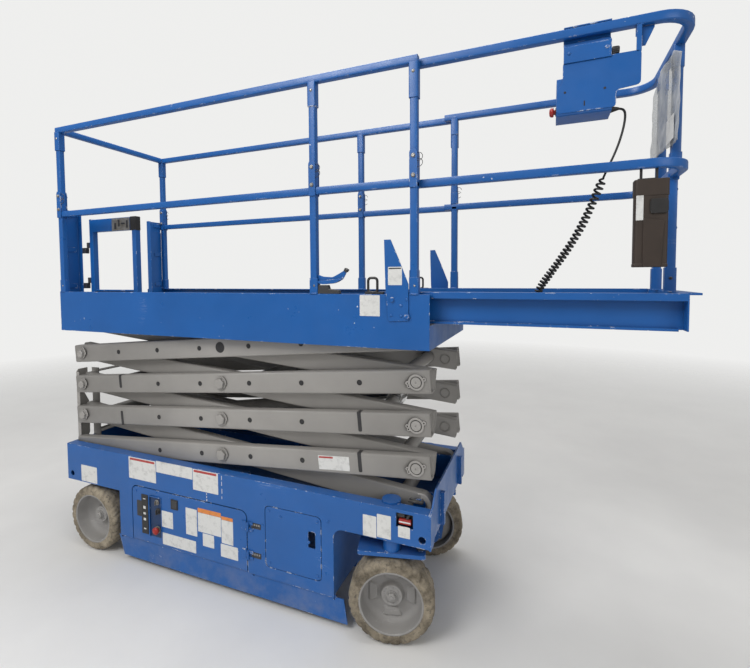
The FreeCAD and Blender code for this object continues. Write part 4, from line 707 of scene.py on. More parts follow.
class LIFT_OT_control_lead(bpy.types.Operator):
    """Make the curly lead of the platform controls and its strain relief"""

    bl_idname = "lift.control_lead"
    bl_label = "Control lead"

    def execute(self, context):
        plain = (np.array(LEAD_ROUTE) + FRAME_SHIFT) / 1000
        route = (np.array(COIL_ROUTE) + FRAME_SHIFT) / 1000
        line = read_line(route)
        runs = np.linalg.norm(np.diff(line, axis=0), axis=1)
        along = np.concatenate([[0], np.cumsum(runs)])
        turns, per_turn = sizes().lead_turns, 12
        count = turns * per_turn
        share = np.linspace(0, 1, count + 1)
        # The turns hang open at the top and lie closer together at the bottom, as the lead's weight leaves them
        spaced = share * (1.25 - 0.25 * share)
        s = spaced / spaced[-1] * along[-1]
        centre = np.stack([np.interp(s, along, line[:, k]) for k in range(3)], -1)
        run = np.gradient(centre, axis=0)
        run /= np.linalg.norm(run, axis=1)[:, None]
        across = np.cross(run, (0.0, 1.0, 0.0))
        across /= np.linalg.norm(across, axis=1)[:, None]
        other = np.cross(run, across)
        a = share * turns * 2 * np.pi
        fade = np.clip(np.minimum(share, 1 - share) * turns / 0.75, 0, 1)
        reach = (COIL_RADIUS + 0.5 * np.sin(a * 0.13)) / 1000 * fade
        helix = centre + reach[:, None] * (np.cos(a)[:, None] * across + np.sin(a)[:, None] * other)
        points = np.concatenate([plain[:-1], helix])
        curve = spline_curve("curly_lead", points, LEAD_THICK / 1000)
        lead = bpy.data.objects.new("curly_lead", curve)
        context.scene.collection.objects.link(lead)
        curve.materials.append(bpy.data.materials["Lead rubber"])
        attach(lead, "deck")
        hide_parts("control_lead", "control_coil")
        centreline = read_line(points)
        grip = [(0, 11), (2, 11.5), (5, 11.5), (7, 9.8), (11, 9.6), (12.5, 8.6), (15, 8.4), (16.5, 7.6), (19, 7.4),
                (20.5, 6.6), (23, 6.4), (24.5, 5.6), (28, 5.2), (28.5, 4.2)]
        relief_piece = made("lead_strain_relief", [copies(revolved(grip, 20), [(1751.5, -300, 2213)])], "Lead rubber", "deck")
        return {"FINISHED"}


def wheel_shape(part, x, side, steered):
    """A shape made along +X at the origin, set on an axle: along x becomes y inwards from the outer face."""
    points = part[0]
    y = side * (HALF_WIDTH - points[:, 0])
    placed = np.stack([x + points[:, 1], y, TYRE_RADIUS + points[:, 2]], -1)
    part = (placed, part[1], part[2])
    return turned(part, 14.0, "Z", (AXLE_X, side * KINGPIN_Y, 0)) if steered else part


def tyre_shape():
    """The tyre's closed section (along, radius) turned about the axle; near each shoulder the radius drops by
    depth * notch(24 a + lean) * shoulder(along), and two shallow rings run round the wall."""
    section = np.array([(0.0, RIM_RADIUS), (0.0, 150), (0.9, 153), (0.9, 157), (0.0, 160), (0.0, 170), (1.4, 177), (4.5, 182),
                        (9, 186.5), (14, 189.4), (20, 190.5), (30, 190.5), (42, 190.5), (52, 190.5), (75, 190.5),
                        (85, 190.5), (97, 190.5), (107, 190.5), (113, 189.4), (118, 186.5), (122.5, 182), (125.6, 177),
                        (127, 170), (127, 160), (126.1, 157), (126.1, 153), (127, 150), (127, RIM_RADIUS)])
    a = np.linspace(0, 2 * np.pi, 288, endpoint=False)
    along, radius = section.T[:, :, None]
    lean = np.abs(along - TYRE_WIDTH / 2) / 90.0
    wave = (a * 24 / (2 * np.pi) + lean + 0.5 * (along > TYRE_WIDTH / 2)) % 1
    notch = np.clip(6 * (0.22 - np.abs(wave - 0.5)), 0, 1)
    edge = np.clip((np.abs(along - TYRE_WIDTH / 2) - 22) / 8, 0, 1) * np.clip((radius - 166) / 10, 0, 1)
    drop = sizes().tread_depth * 1000 * notch * edge
    r = radius - drop
    inward = np.where(along < TYRE_WIDTH / 2, 1, -1) * drop * 0.35 * (radius < 188)
    return shell(np.stack([along + inward, r * np.cos(a), r * np.sin(a)], -1), rows_wrap=True)


def rim_shape(pads):
    """The rim's section turned about the axle; on the disc four rounded wedges stand out by 8 mm when asked:
    along(r, a) = disc - 8 * smooth(distance inside the wedge)."""
    outer = [(1.5, RIM_RADIUS), (0.6, 141), (0.6, 137), (2.2, 134.6), (8, 134), (34, 132.8), (58, 130.5), (68, 127),
             (75, 121), (79.5, 114), (81.6, 107), (82, 103), (82, 100), (82, 98), (82, 96), (82, 93), (82, 88),
             (82, 82), (82, 76), (82, 70), (82, 67), (82, 65), (82, 63), (82, 61), (82, 58), (80.5, 55), (72, 50.5),
             (62, 48.2), (57.5, 47), (56, 45), (56, 41), (57.5, 39), (57.5, 33), (56, 31.5), (56, 22), (54.5, 20.5), (54.5, 0)]
    back = [(94, 0), (94, 119), (78, 133), (126.4, 134), (126.4, RIM_RADIUS)]
    along, radius = np.array(back + outer).T[:, :, None]
    a = np.linspace(0, 2 * np.pi, 144, endpoint=False)
    along = np.broadcast_to(along, (len(back) + len(outer), 144)).copy()
    if pads:
        off = (a + np.pi / 4) % (np.pi / 2) - np.pi / 4
        out_, sideways = radius * np.cos(off), radius * np.sin(off)
        half = 33 + (out_ - 63) * 0.36
        inside = np.minimum(np.minimum(half - np.abs(sideways), out_ - 63), 107 - out_)
        swell = np.clip(inside / 5.0, 0, 1)
        face = (np.arange(len(along)) >= len(back))[:, None] & (radius > 56) & (radius < 118)
        along -= 8.0 * face * swell * swell * (3 - 2 * swell)
    return shell(np.stack([along, radius * np.cos(a), radius * np.sin(a)], -1))


class LIFT_OT_wheels(bpy.types.Operator):
    """Make the four solid tyres, their rims and hubs"""

    bl_idname = "lift.wheels"
    bl_label = "Wheels"

    def execute(self, context):
        tyre = tyre_shape()
        for end, x, pads in (("front", AXLE_X, True), ("rear", -AXLE_X, False)):
            rim = rim_shape(pads)
            spin = np.arange(9) * 2 * np.pi / 9
            studs = copies(dome(3.2, 2.5, 8), np.stack([0 * spin, 36 * np.cos(spin), 36 * np.sin(spin)], -1))
            studs = (studs[0] * (-1, 1, 1) + (57.5, 0, 0), studs[1], studs[2])
            nut = hexagon(34, 15)
            nut = (nut[0] * (-1, 1, 1) + (55, 0, 0), nut[1], nut[2])
            washer = revolved([(55.5, 24), (52.5, 24), (51.8, 23), (51.8, 0)], 24)
            cap = revolved([(41, 9), (37.5, 8.6), (36, 7), (35.5, 0)], 16)
            for side, s in (("near", -1), ("far", 1)):
                body = "%s_%s_wheel" % (side, end)
                steered = end == "front"
                made("%s_%s_tyre_dressed" % (side, end), [wheel_shape(tyre, x, s, steered)], "Tyre rubber", body,
                     ["%s_%s_tyre" % (side, end)], sharp=60)
                made("%s_%s_rim_dressed" % (side, end), [wheel_shape(rim, x, s, steered)], "Rim paint", body,
                     ["%s_%s_rim" % (side, end)], sharp=50)
                parts = [wheel_shape(p, x, s, steered) for p in (studs, nut, washer, cap)]
                made("%s_%s_hub_nuts" % (side, end), parts, "Rim paint", body, sharp=30)
        return {"FINISHED"}


def on_arm(part, level, rising):
    """A shape laid along X about its arm's middle, tipped to the arm's rest slope and lifted to its level."""
    tipped = turned(part, -math.degrees(ARM_TILT) if rising else math.degrees(ARM_TILT), "Y")
    return tipped[0] + (ARM_MIDDLE_X, 0, PIN_BASE_Z + (level - 0.5) * LEVEL_RISE), tipped[1], tipped[2]


class LIFT_OT_scissor_arms(bpy.types.Operator):
    """Make the sixteen arm tubes with their cross tubes, pins, rings and nuts"""

    bl_idname = "lift.scissor_arms"
    bl_label = "Scissor arms"

    def execute(self, context):
        corner = sizes().arm_corner * 1000
        for level in range(1, 5):
            for kind, y_out, rising in (("inner", INNER_Y, False), ("outer", OUTER_Y, True)):
                tubes, fittings, nuts, shade_marks = [], [], [], []
                left = ARM_HALF if kind == "inner" and level == 4 else ARM_HALF + ARM_END
                right = ARM_HALF if (level == 1 if kind == "inner" else level == 4) else ARM_HALF + ARM_END
                middle = y_out - ARM_WIDTH / 2
                for s in (-1, 1):
                    outline = rounded_rectangle(ARM_WIDTH, ARM_DEPTH, corner, 4)
                    tubes.append(swept(outline, [(-left, s * middle, 0), (right, s * middle, 0)], (0, 0, 1), lids=False))
                    for reach, x in ((left, -ARM_HALF), (right, ARM_HALF)):
                        if reach == ARM_HALF:
                            half = ARM_WIDTH / 2 - 0.2
                            eye = facing(revolved([(-half, 0), (-half, 48), (-half + 3, 51.3), (half - 3, 51.3), (half, 48),
                                                   (half, 0)], 40), (0, 1, 0))
                            fittings.append(copies(eye, [(x, s * middle, 0)]))
                    if kind == "outer":
                        out = s * np.array([0.0, 1.0, 0.0])
                        for x in (-ARM_HALF, 0.0, ARM_HALF):
                            if level == 1 and x < 0:
                                continue
                            at = [(x, s * y_out, 0)]
                            if level == 4 and x == 0:
                                # Painted shade: at the top level's middle joint a dark disc stands in for the shaded
                                # hollow round the pin.
                                hub = facing(revolved([(1, 28), (0.6, 24), (-0.1, 22), (-0.1, 0)], 28), out)
                                shade_marks.append(copies(hub, at))
                                continue
                            boss = revolved([(-3, 28), (2, 28), (2, 0)], 32)
                            pin = revolved([(1, 22.5), (9.5, 22.5), (11, 21), (11, 5), (9, 3), (9, 0)], 32)
                            fittings.append(copies(facing(boss, out), at))
                            if x == ARM_HALF:
                                band = revolved([(-1, 25.5), (-1, 35), (8, 35), (9, 34), (9, 26.5), (8, 25.5)], 40, closed=True)
                                ears = copies(revolved([(-2, 9), (7.5, 9), (8.5, 8), (8.5, 3), (-2, 3)], 14, closed=True),
                                              [(0, 39, 2.0), (0, -36, -12), (0, 34, 15)])
                                shown = [pin, band] if level == 4 else [pin, band, ears]
                            else:
                                nut = bolt(50 if x == 0 else 42, 13, 35 if x == 0 else 32)
                                hook = ring(38, 3.2, 16, 6, 0.22)
                                shown = [turned((nut[0] + (4, 0, 0), nut[1], nut[2]), 12, "X"),
                                         turned((hook[0] + (6, 0, 0), hook[1], hook[2]), 170, "X")]
                            nuts += [copies(facing(part, out), at) for part in shown]
                        # Painted shade: dark discs at these spots stand in for the shaded holes through the outer arms.
                        spots = {1: (-436, -137, 178, 480), 2: (-436, -137, 178, 480), 3: (-436, -137, 178, 480, 781),
                                 4: (-736, -436, -137, 178, 480)}[level]
                        for x in spots:
                            hole_shade_disc = revolved([(0.7, 12.5), (0.7, 10), (-0.1, 9.6), (-0.1, 0)], 20)
                            shade_marks.append(copies(facing(hole_shade_disc, out), [(x, s * y_out, 0)]))
                        # Painted shade: dark slots and a dark lip stand in for the shaded openings in the outer arms.
                        low, high = sorted((s * (y_out - 3), s * (y_out + 0.6)))
                        for x, z0, z1 in {1: ((781, -36, 53),), 2: ((781, -36, 53), (-724, -53, 30)), 3: ((-728, -22, 53),),
                                          4: ()}[level]:
                            shade_marks.append(plate(eased(rectangle(x - 9, x + 9, z0, z1), 7), low, high))
                            if z1 > 50:
                                low_lip, high_lip = sorted((s * (y_out - 34), s * (y_out - 1)))
                                shade_marks.append(block(x - 9, x + 9, low_lip, high_lip, 50, 52.8))
                if kind == "inner":
                    front = 960.0 if level == 3 else 92.0
                    for x in (ARM_HALF - front, 92.0 - ARM_HALF):
                        cross = facing(revolved([(-240, 30), (240, 30)], 32), (0, 1, 0))
                        fittings.append(copies(cross, [(x, 0, 0)]))
                        collar = facing(revolved([(-3, 33), (3, 33), (5, 30)], 32), (0, 1, 0))
                        fittings += [copies(collar, [(x, 235.5, 0)]), copies(collar, [(x, -235.5, 0)])]
                    if level == 1:
                        fittings.append(copies(facing(revolved([(-240, 25), (240, 25)], 28), (0, 1, 0)), [(ARM_HALF - 1700, 0, 0)]))
                    if level == 3:
                        stub = facing(revolved([(0, 25), (189, 25)], 28), (0, 1, 0))
                        fittings += [copies(stub, [(ARM_HALF - 200, 51, 0)]), copies(stub, [(ARM_HALF - 200, -240, 0)])]
                    for s in (-1, 1):
                        for x in (-ARM_HALF, 0.0, ARM_HALF):
                            liner = facing(revolved([(-25.5, 21), (-25.5, 29), (25.5, 29), (25.5, 21)], 28, closed=True), (0, 1, 0))
                            fittings.append(copies(liner, [(x, s * middle, 0)]))
                body = "%s_%d" % (kind, level)
                made("%s_arm_tubes_%d" % (kind, level), [on_arm(p, level, rising) for p in tubes], "Arm paint", body,
                     ["%s_arms_%d" % (kind, level)], wall=5.0, sharp=60)
                if fittings:
                    made("%s_arm_bosses_%d" % (kind, level), [on_arm(p, level, rising) for p in fittings], "Arm paint", body)
                if nuts:
                    made("%s_arm_pins_%d" % (kind, level), [on_arm(p, level, rising) for p in nuts], "Arm paint", body, sharp=30)
                # Painted shade: the dark discs, slots and lips are flat dark pieces laid on the arm faces.
                if shade_marks:
                    made("%s_arm_hole_shade_%d" % (kind, level), [on_arm(p, level, rising) for p in shade_marks], "Dark vinyl and painted shade", body)
        label = plate(eased(rectangle(567, 727, 0, 66), 3), -OUTER_Y - 0.6, -OUTER_Y + 1)
        label = turned(label, -5.3, "Y", (567, 0, 0))
        label = (label[0] + (0, 0, 708.5), label[1], label[2])
        made("arm_label", [label], "Blank vinyl", "outer_1")
        head = plate(eased(rectangle(571, 645, 54, 62), 2), -OUTER_Y - 0.9, -OUTER_Y + 1)
        head = turned(head, -5.3, "Y", (567, 0, 0))
        made("arm_label_head", [(head[0] + (0, 0, 708.5), head[1], head[2])], "Red vinyl", "outer_1")
        return {"FINISHED"}


def rail_post(x, y, low, high, wide=RAIL, deep=RAIL):
    """An upright square tube."""
    return swept(rounded_rectangle(wide, deep, 4.5), [(x, y, low), (x, y, high)], (0, 1, 0))


def bead(x, y, z, size=RAIL):
    """A weld round the foot of a post: a small fillet ring of square outline."""
    low, high = rounded_rectangle(size + 7, size + 7, 7), rounded_rectangle(size + 1, size + 1, 5)
    points = np.stack([np.column_stack([low, np.full(len(low), 0.0)]), np.column_stack([low * 0.97, np.full(len(low), 1.8)]),
                       np.column_stack([high, np.full(len(low), 4.5)])])
    return copies(shell(points), [(x, y, z)])


class LIFT_OT_guard_rails(bpy.types.Operator):
    """Make the main platform's fold-down guard rails, their sockets, ears, pins and wire clips"""

    bl_idname = "lift.guard_rails"
    bl_label = "Guard rails"

    def execute(self, context):
        for side, s, posts in (("near", -1, NEAR_POSTS), ("far", 1, FAR_POSTS)):
            y = s * RAIL_Y
            low = [tube((RAIL_REAR_X - 16, y, RAIL_MID_Z), (posts[-1] + 16, y, RAIL_MID_Z))]
            high = [tube((RAIL_REAR_X - 16, y, RAIL_TOP_Z), (posts[-1] + 16, y, RAIL_TOP_Z))]
            steel, clips = [], []
            for k, x in enumerate(posts):
                low.append(rail_post(x, y, PANEL_TOP, RAIL_MID_Z))
                low.append(rail_post(x, y, PANEL_TOP, PANEL_TOP + 70, RAIL + 9, RAIL + 1.0))
                low.append(bead(x, y, PANEL_TOP, RAIL + 3))
                for e in (-1, 1):
                    ear = eased([(x - 16.5, 1976), (x + 16.5, 1976), (x + 16.5, 2118), (x + 11, 2130), (x - 11, 2130), (x - 16.5, 2118)], 5)
                    inner, outer = sorted((y + e * 16.2, y + e * 21))
                    low.append(plate(ear, inner, outer))
                high.append(rail_post(x, y, RAIL_MID_Z + 17, RAIL_TOP_Z, RAIL - 0.6, RAIL - 0.8))
                drop = 152 if k == 2 else 118
                high.append(rail_post(x, y, RAIL_TOP_Z - drop, RAIL_TOP_Z - 12, RAIL + 7, RAIL + 7))
                for z in (2024, 2103):
                    steel.append(copies(facing(bolt(13, 5, 9), (0, s, 0)), [(x, y + s * 21, z)]))
                    steel.append(copies(facing(bolt(13, 8, 9), (0, -s, 0)), [(x, y - s * 21, z)]))
                steel.append(copies(facing(dome(7, 3.5), (0, s, 0)), [(x, y + s * 19, RAIL_TOP_Z - 50)]))
                steel.append(copies(facing(dome(5, 3), (0, s, 0)), [(x + 4, y + s * 16, PANEL_TOP + 36)]))
                hoop = ring(17, 1.3, 28, 6, 0.8)
                for dz in (0, 24):
                    clips.append(copies(facing(turned(hoop, 40 + dz, "X"), (0.1, s, 0.1)), [(x + 20, y + s * 14, 2074 + dz)]))
            for name, shapes, node in (("low", low, "%s_rails_low" % side), ("high", high, "%s_rails_high" % side)):
                made("%s_rail_tubes_%s" % (side, name), shapes, "Blue paint", "platform", [node], sharp=45)
            made("%s_rail_bolts" % side, steel, "Zinc", "platform", sharp=30)
            made("%s_rail_clips" % side, clips, "Dark steel", "platform", sharp=60)
        span = RAIL_Y - RAIL / 2 - 0.3
        made("rear_rail_tube", [swept(rounded_rectangle(RAIL, RAIL, 4.5), [(RAIL_REAR_X, -span, RAIL_TOP_Z), (RAIL_REAR_X, span, RAIL_TOP_Z)],
                                      (0, 0, 1))], "Blue paint", "platform", ["rear_rail_high"], sharp=45)
        rear = []
        for s, edge in ((-1, 280.0), (1, 240.0)):
            fold = [(-1132, 362.5), (-1132, edge), (-1096, edge), (-1096, edge + 4), (-1128, edge + 4), (-1128, 362.5)]
            rear.append(plate(eased([(x, s * y) for x, y in fold], 3), FLOOR_TOP + 0.5, 2029, "z"))
            y0, y1 = sorted((s * 360.0, s * 366.5))
            rear.append(block(-1132, -1128, y0, y1, 1550, 1955))
            y0, y1 = sorted((s * 300.0, s * 360.0))
            rear += [block(-1128.5, -1124, y0, y1, z, z + 26) for z in (1560, 1780, 1990)]
        made("rear_panels", rear, "Blue paint", "platform", ["rear_rails_low"], bevel=1.2)
        outline = [(-1050, 1432), (-1018, 1432), (-1018, 1900), (-692, 1900), (-692, 1432), (-660, 1432), (-660, 1975),
                   (-1050, 1975)]
        gate = [plate(outline, -266, -234), block(-1019, -691, -253, -247, 1432, 1542),
                block(-1019, -691, -262, -238, 1540, 1548), block(-1040, -1030, -268, -232, 1976, 1979)]
        made("gate_frame", gate, "Blue paint", "gate", ["gate"], bevel=3.0)
        cap = [block(-704, -658, -268, -232, 1896, 1977), block(-1054, -1040, -264, -236, 1940, 1979)]
        made("gate_end_caps", cap, "Black plastic", "gate", bevel=3.0)
        made("gate_latch_plate", [block(-850, -706, -270, -265.5, 1900, 1972), block(-838, -800, -274, -269, 1952, 1966)],
             "Zinc", "gate", bevel=1.2)
        # Painted shade: dark blocks stand in for the shaded slots through the latch plate.
        made("gate_latch_slots", [block(x, x + w, -271, -269, z, z + h) for x, w, z, h in
                                  ((-828, 16, 1908, 36), (-796, 12, 1922, 40), (-772, 30, 1934, 9), (-730, 12, 1912, 44))],
             "Dark vinyl and painted shade", "gate")
        post_strap = [block(-1077, -1049, -265, -259, z - 1, z + 33) for z in (1590, 1805)]
        wall_strap = [block(-1102, -1067, -282, -275, z - 34, z) for z in (1590, 1805)]
        wall_strap += [block(-1077, -1067, -277, -262, z - 34, z) for z in (1590, 1805)]
        knuckle = facing(revolved([(0, 6.5), (32, 6.5)], 16), (0, 0, 1))
        post_strap += [copies(knuckle, [(-1072, -262, z + 0.5) for z in (1590, 1805)])]
        wall_strap += [copies(knuckle, [(-1072, -262, z - 33) for z in (1590, 1805)])]
        made("gate_hinges_moving", post_strap, "Dark steel", "gate", bevel=1.0)
        made("gate_hinges_fixed", wall_strap, "Dark steel", "platform", bevel=1.0)
        return {"FINISHED"}


def loop_path(y, front, radius, back, steps=8):
    """A rail's line seen from above: out one side, a quarter circle at each front corner and back on the other."""
    a = np.linspace(0, np.pi / 2, steps + 1)
    near = np.stack([front - radius + radius * np.sin(a), -y + radius - radius * np.cos(a)], -1)
    far = near[::-1] * (1, -1)
    return np.concatenate([[(back, -y)], near, far, [(back, y)]])


FRONT_POST_Y = 119.0


class LIFT_OT_deck_rails(bpy.types.Operator):
    """Make the roll-out deck's looped rails and posts"""

    bl_idname = "lift.deck_rails"
    bl_label = "Deck rails"

    def execute(self, context):
        section = rounded_rectangle(RAIL, RAIL, 4.5)
        for name, z, front in (("low", RAIL_MID_Z, DECK_FRONT + 5), ("high", RAIL_TOP_Z, DECK_FRONT + 13)):
            path = loop_path(DECK_Y, front, DECK_CORNER, 1015.0)
            line = np.column_stack([path, np.full(len(path), z)])
            parts = [swept(section, line, (0, 0, 1))]
            post_x = front - 4
            for x, y in ((1031.0, -DECK_Y), (1069.0, DECK_Y), (post_x, -FRONT_POST_Y), (post_x, FRONT_POST_Y)):
                if name == "low":
                    parts.append(rail_post(x, y, DECK_TOP, RAIL_MID_Z))
                    parts.append(bead(x, y, DECK_TOP))
                    parts.append(rail_post(x, y, DECK_TOP, DECK_TOP + 92, RAIL + 7, RAIL + 1))
                    if x == post_x:
                        parts.append(block(x - 21, x + 19, y - 19, y + 19, 1974, 1983))
                else:
                    parts.append(rail_post(x, y, RAIL_MID_Z + 17, RAIL_TOP_Z, RAIL - 0.6, RAIL - 0.8))
                    parts.append(rail_post(x, y, RAIL_MID_Z + 16, RAIL_MID_Z + 78, RAIL + 6, RAIL + 2))
                    parts.append(rail_post(x, y, RAIL_TOP_Z - 96, RAIL_TOP_Z - 12, RAIL + 5, RAIL + 5))
            made("deck_rail_tubes_%s" % name, parts, "Blue paint", "deck", ["deck_rails_%s" % name], sharp=45)
        front = [(2002, s * FRONT_POST_Y, z) for s in (-1, 1) for z in (1793, 1939)]
        steel = [copies(facing(dome(6, 3.5), (0, -1, 0)), [(1031, -359, 1582), (1986, -FRONT_POST_Y - 19.5, 1600)]),
                 copies(facing(dome(6, 3.5), (1, 0, 0)), front)]
        made("deck_rail_bolts", steel, "Dark steel", "deck", sharp=30)
        return {"FINISHED"}


def labels(name, spots, finish, body, y=-HALF_WIDTH, thick=0.7):
    """Blank stickers, and flat dark marks of painted shade, on a wall that looks to -Y: rounded rectangles given as x0,
    x1, z0, z1.
    """
    parts = [plate(eased(rectangle(*spot), 3), y - thick, y + 0.5) for spot in spots]
    made(name, parts, finish, body)


class LIFT_OT_chassis_details(bpy.types.Operator):
    """Add the chassis' bolts, blank stickers, ground controls and small fittings"""

    bl_idname = "lift.chassis_details"
    bl_label = "Chassis details"

    def execute(self, context):
        labels("chassis_labels", [(-1004, -871, 411, 508), (-609, -407, 495, 617), (-403, -150, 560, 622),
                                  (-147, 17, 509, 620), (813, 876, 475, 570), (879, 943, 482, 585), (975, 1028, 503, 552)],
               "Blank vinyl", "chassis")
        labels("chassis_label_heads", [(-600, -415, 600, 612), (-140, 8, 604, 616)], "Red vinyl", "chassis", thick=1.0)
        labels("door_labels", [(-372, -293, 262, 352), (-202, -127, 258, 402), (-120, 30, 290, 392), (-90, -17, 219, 286),
                               (33, 105, 262, 384), (26, 133, 190, 257), (-369, -137, 165, 230)], "Blank vinyl", "near_tray")
        labels("door_label_heads", [(-120, 30, 393, 416), (33, 105, 385, 402)], "Amber vinyl", "near_tray")
        head = facing(dome(7.5, 4.0), (0, -1, 0))
        spots = [(x, -HALF_WIDTH, z) for x, z in ((283, 408), (283, 258), (322, 487), (583, 487), (583, 228), (322, 228),
                                                  (386, 470), (540, 380), (-560, 430), (640, 500))]
        far = [(x, HALF_WIDTH, z) for x, _, z in spots[:8]]
        made("chassis_bolts", [copies(head, spots), copies(facing(dome(7.5, 4.0), (0, 1, 0)), far)], "Blue paint", "chassis")
        labels("chassis_chips", [(-60, -56, 462, 474), (-61, -57, 480, 488), (-60, -57, 494, 505), (38, 41, 590, 612),
                                 (38, 41, 560, 582), (39, 42, 520, 546), (38, 41, 492, 506)], "Blank vinyl", "chassis", thick=0.4)
        # Painted shade: dark plates stand in for the shaded gaps at the door's hinges.
        labels("hinge_slots", [(216, 273, z - 14, z + 14) for z in (394, 245)], "Dark vinyl and painted shade", "chassis")
        ridges = [block(221 + 13 * k, 229 + 13 * k, -409, -404, z + 1, z + 10) for k in range(4) for z in (394, 245)]
        made("hinge_knuckles", ridges, "Rim paint", "chassis", bevel=1.0)
        lever = plate(eased(rectangle(975, 1030, 556, 578), 5), -398, -380)
        made("brake_release_lever", [lever], "Red plastic", "chassis", bevel=2.5)
        made("brake_release_valve", [block(958, 1049, -376, -372, 540, 612), tube((1008, -386, 574), (1024, -380, 606), (0, 1, 0), 12, 12, 3),
                                     block(966, 1000, -392, -374, 584, 606)], "Dark steel", "chassis", bevel=1.0)
        made("brake_release_band", [block(977, 1028, -398.8, -397, 564, 570)], "Blank vinyl", "chassis")
        clip = [block(997, 1063, -328, -308, 621.5, 630), tube((1004, -318, 628), (1004, -318, 641), (0, 1, 0), 9, 9, 3),
                tube((1054, -318, 628), (1060, -316, 642), (0, 1, 0), 9, 9, 3)]
        made("hose_bracket", clip, "Dark steel", "chassis", bevel=1.5)

        plates = []
        shape = [(321, 500), (321, 1043), (309, 1056), (250, 1056), (250, 1010), (286, 950), (286, 923), (247, 843),
                 (247, 641), (286, 570), (286, 500)]
        for side in (-1, 1):
            plates.append(plate([(side * y, z) for y, z in shape], -1138, -1132, "x"))
            y0, y1 = sorted((side * 317, side * 322))
            plates.append(block(-1138, -1112, y0, y1, 500, 1040))
        made("ladder_side_plates", plates, "Arm paint", "chassis", bevel=1.5)

        y = -HALF_WIDTH
        # Painted shade: a dark plate stands in for the shaded finger slot in the door.
        labels("finger_slot", [(-555, -521, 288, 378)], "Dark vinyl and painted shade", "near_tray")
        sill = [block(-455, -376, y - 0.9, y + 1, 194, 418), block(-459, -455, y - 7, y + 1, 192, 420),
                block(-455, -376, y - 7, y + 1, 416, 420), block(-376, -372, y - 3, y + 1, 192, 420)]
        made("ground_controls_back", sill[:1], "Shadowed blue", "near_tray", ["ground_controls"])
        made("ground_controls_frame", sill[1:], "Blue paint", "near_tray", bevel=1.2)
        made("ground_controls_strip", [plate(eased(rectangle(-519, -471, 196, 418), 4), y - 3, y + 1),
                                       plate(eased(rectangle(-303, -255, 374, 428), 3), y - 4, y + 1)],
             "Black plastic", "near_tray", bevel=1.0)
        made("ground_controls_marks", [block(-504, -487, y - 3.7, y - 2, z, z + h) for z, h in
                                       ((392, 5), (338, 16), (306, 12), (272, 14), (222, 7))], "Blank vinyl", "near_tray")
        made("ground_controls_face", [block(-295, -263, y - 4.6, y - 3, 382, 420)], "Dark steel", "near_tray")
        out = (0.0, -1.0, 0.0)
        key = facing(revolved([(0, 15), (5, 15), (6.5, 13.5), (6.5, 9), (11, 8.5), (12, 7), (12, 0)], 24), out)
        made("ground_key_switch", [copies(key, [(-402, y, 392)]), block(-404, -400, y - 19, y - 11, 381, 403)], "Zinc", "near_tray",
             sharp=30)
        knob = facing(revolved([(0, 17), (3, 17), (4, 13), (14, 12), (15, 10), (15, 0)], 24), out)
        made("ground_knob", [copies(knob, [(-394, y, 343)]), block(-397, -391, y - 20, y - 12, 330, 356)], "Black plastic", "near_tray",
             sharp=30)
        collar = facing(revolved([(0, 20), (4, 20), (5, 18), (5, 0)], 28), out)
        made("ground_stop_collar", [copies(collar, [(-402, y, 238)])], "Zinc", "near_tray", sharp=30)
        mushroom = facing(revolved([(4, 10), (12, 10), (13, 18), (17, 20), (22, 19), (27, 13), (28.5, 0)], 28), out)
        made("ground_stop", [copies(mushroom, [(-402, y, 238)])], "Red plastic", "near_tray", sharp=50)
        return {"FINISHED"}


class LIFT_OT_platform_fittings(bpy.types.Operator):
    """Add the platform's tie rings, foot latch, gusset bolts and blank stickers"""

    bl_idname = "lift.platform_fittings"
    bl_label = "Platform fittings"

    def execute(self, context):
        hoop = rounded_rectangle(42, 63, 13, 4)
        rings = []
        for y in (-RAIL_Y, RAIL_Y):
            line = np.column_stack([857.5 + hoop[:, 0], np.full(len(hoop), y), 1577 + hoop[:, 1]])
            rings += [swept(rounded_rectangle(11, 11, 5), line, (0, 1, 0), closed=True), block(824, 908, y - 9, y + 9, 1539, 1549)]
        made("tie_ring_hoops", rings, "Black plastic", "platform", ["tie_rings"], bevel=1.0)
        pedal = [(588, 49), (622, 42), (672, 46), (694, 53), (721, 69), (736, 96), (726, 104), (694, 87), (667, 74), (620, 77), (589, 88)]
        outline = eased([(x, PANEL_TOP + z) for x, z in pedal], 7)
        made("foot_pedal", [plate(outline, -RAIL_Y - 3, -RAIL_Y + 3), plate(outline[:22], -RAIL_Y - 11, -RAIL_Y + 11)],
             "Blue paint", "platform", ["deck_latch"], bevel=1.2)
        tip = [(724, PANEL_TOP + 102), (736, PANEL_TOP + 94), (745, PANEL_TOP + 106), (731, PANEL_TOP + 115)]
        base = [(597, 1539), (704, 1539), (700, 1556), (652, 1560), (646, 1578), (600, 1578)]
        made("foot_latch_base", [plate(base, -RAIL_Y - 13, -RAIL_Y + 13), plate(tip, -RAIL_Y - 12, -RAIL_Y + 12)],
             "Dark steel", "platform", bevel=2.0)
        for side, s in (("near", -1), ("far", 1)):
            out, y = (0.0, s, 0.0), s * (PLATFORM_Y + 5)
            large = [(951, y, 1516), (1017, y, 1447)]
            small = [(1016, y, 1518), (947, y, 1451), (990, y, 1492), (990, y, 1449)]
            made("%s_gusset_bolts" % side, [copies(facing(bolt(17, 6, 12), out), large), copies(facing(dome(6.5, 3), out), small)],
                 "Blue paint", "platform", sharp=35)
        labels("gusset_label", [(934, 995, 1578, 1654)], "Blank vinyl", "platform", y=-PLATFORM_Y - 5)
        labels("gusset_label_head", [(937, 992, 1645, 1650)], "Dark vinyl and painted shade", "platform", y=-PLATFORM_Y - 5, thick=1.0)
        labels("panel_decal", [(803, 895, 1445, 1535)], "Blank vinyl", "platform", y=-PLATFORM_Y)
        return {"FINISHED"}


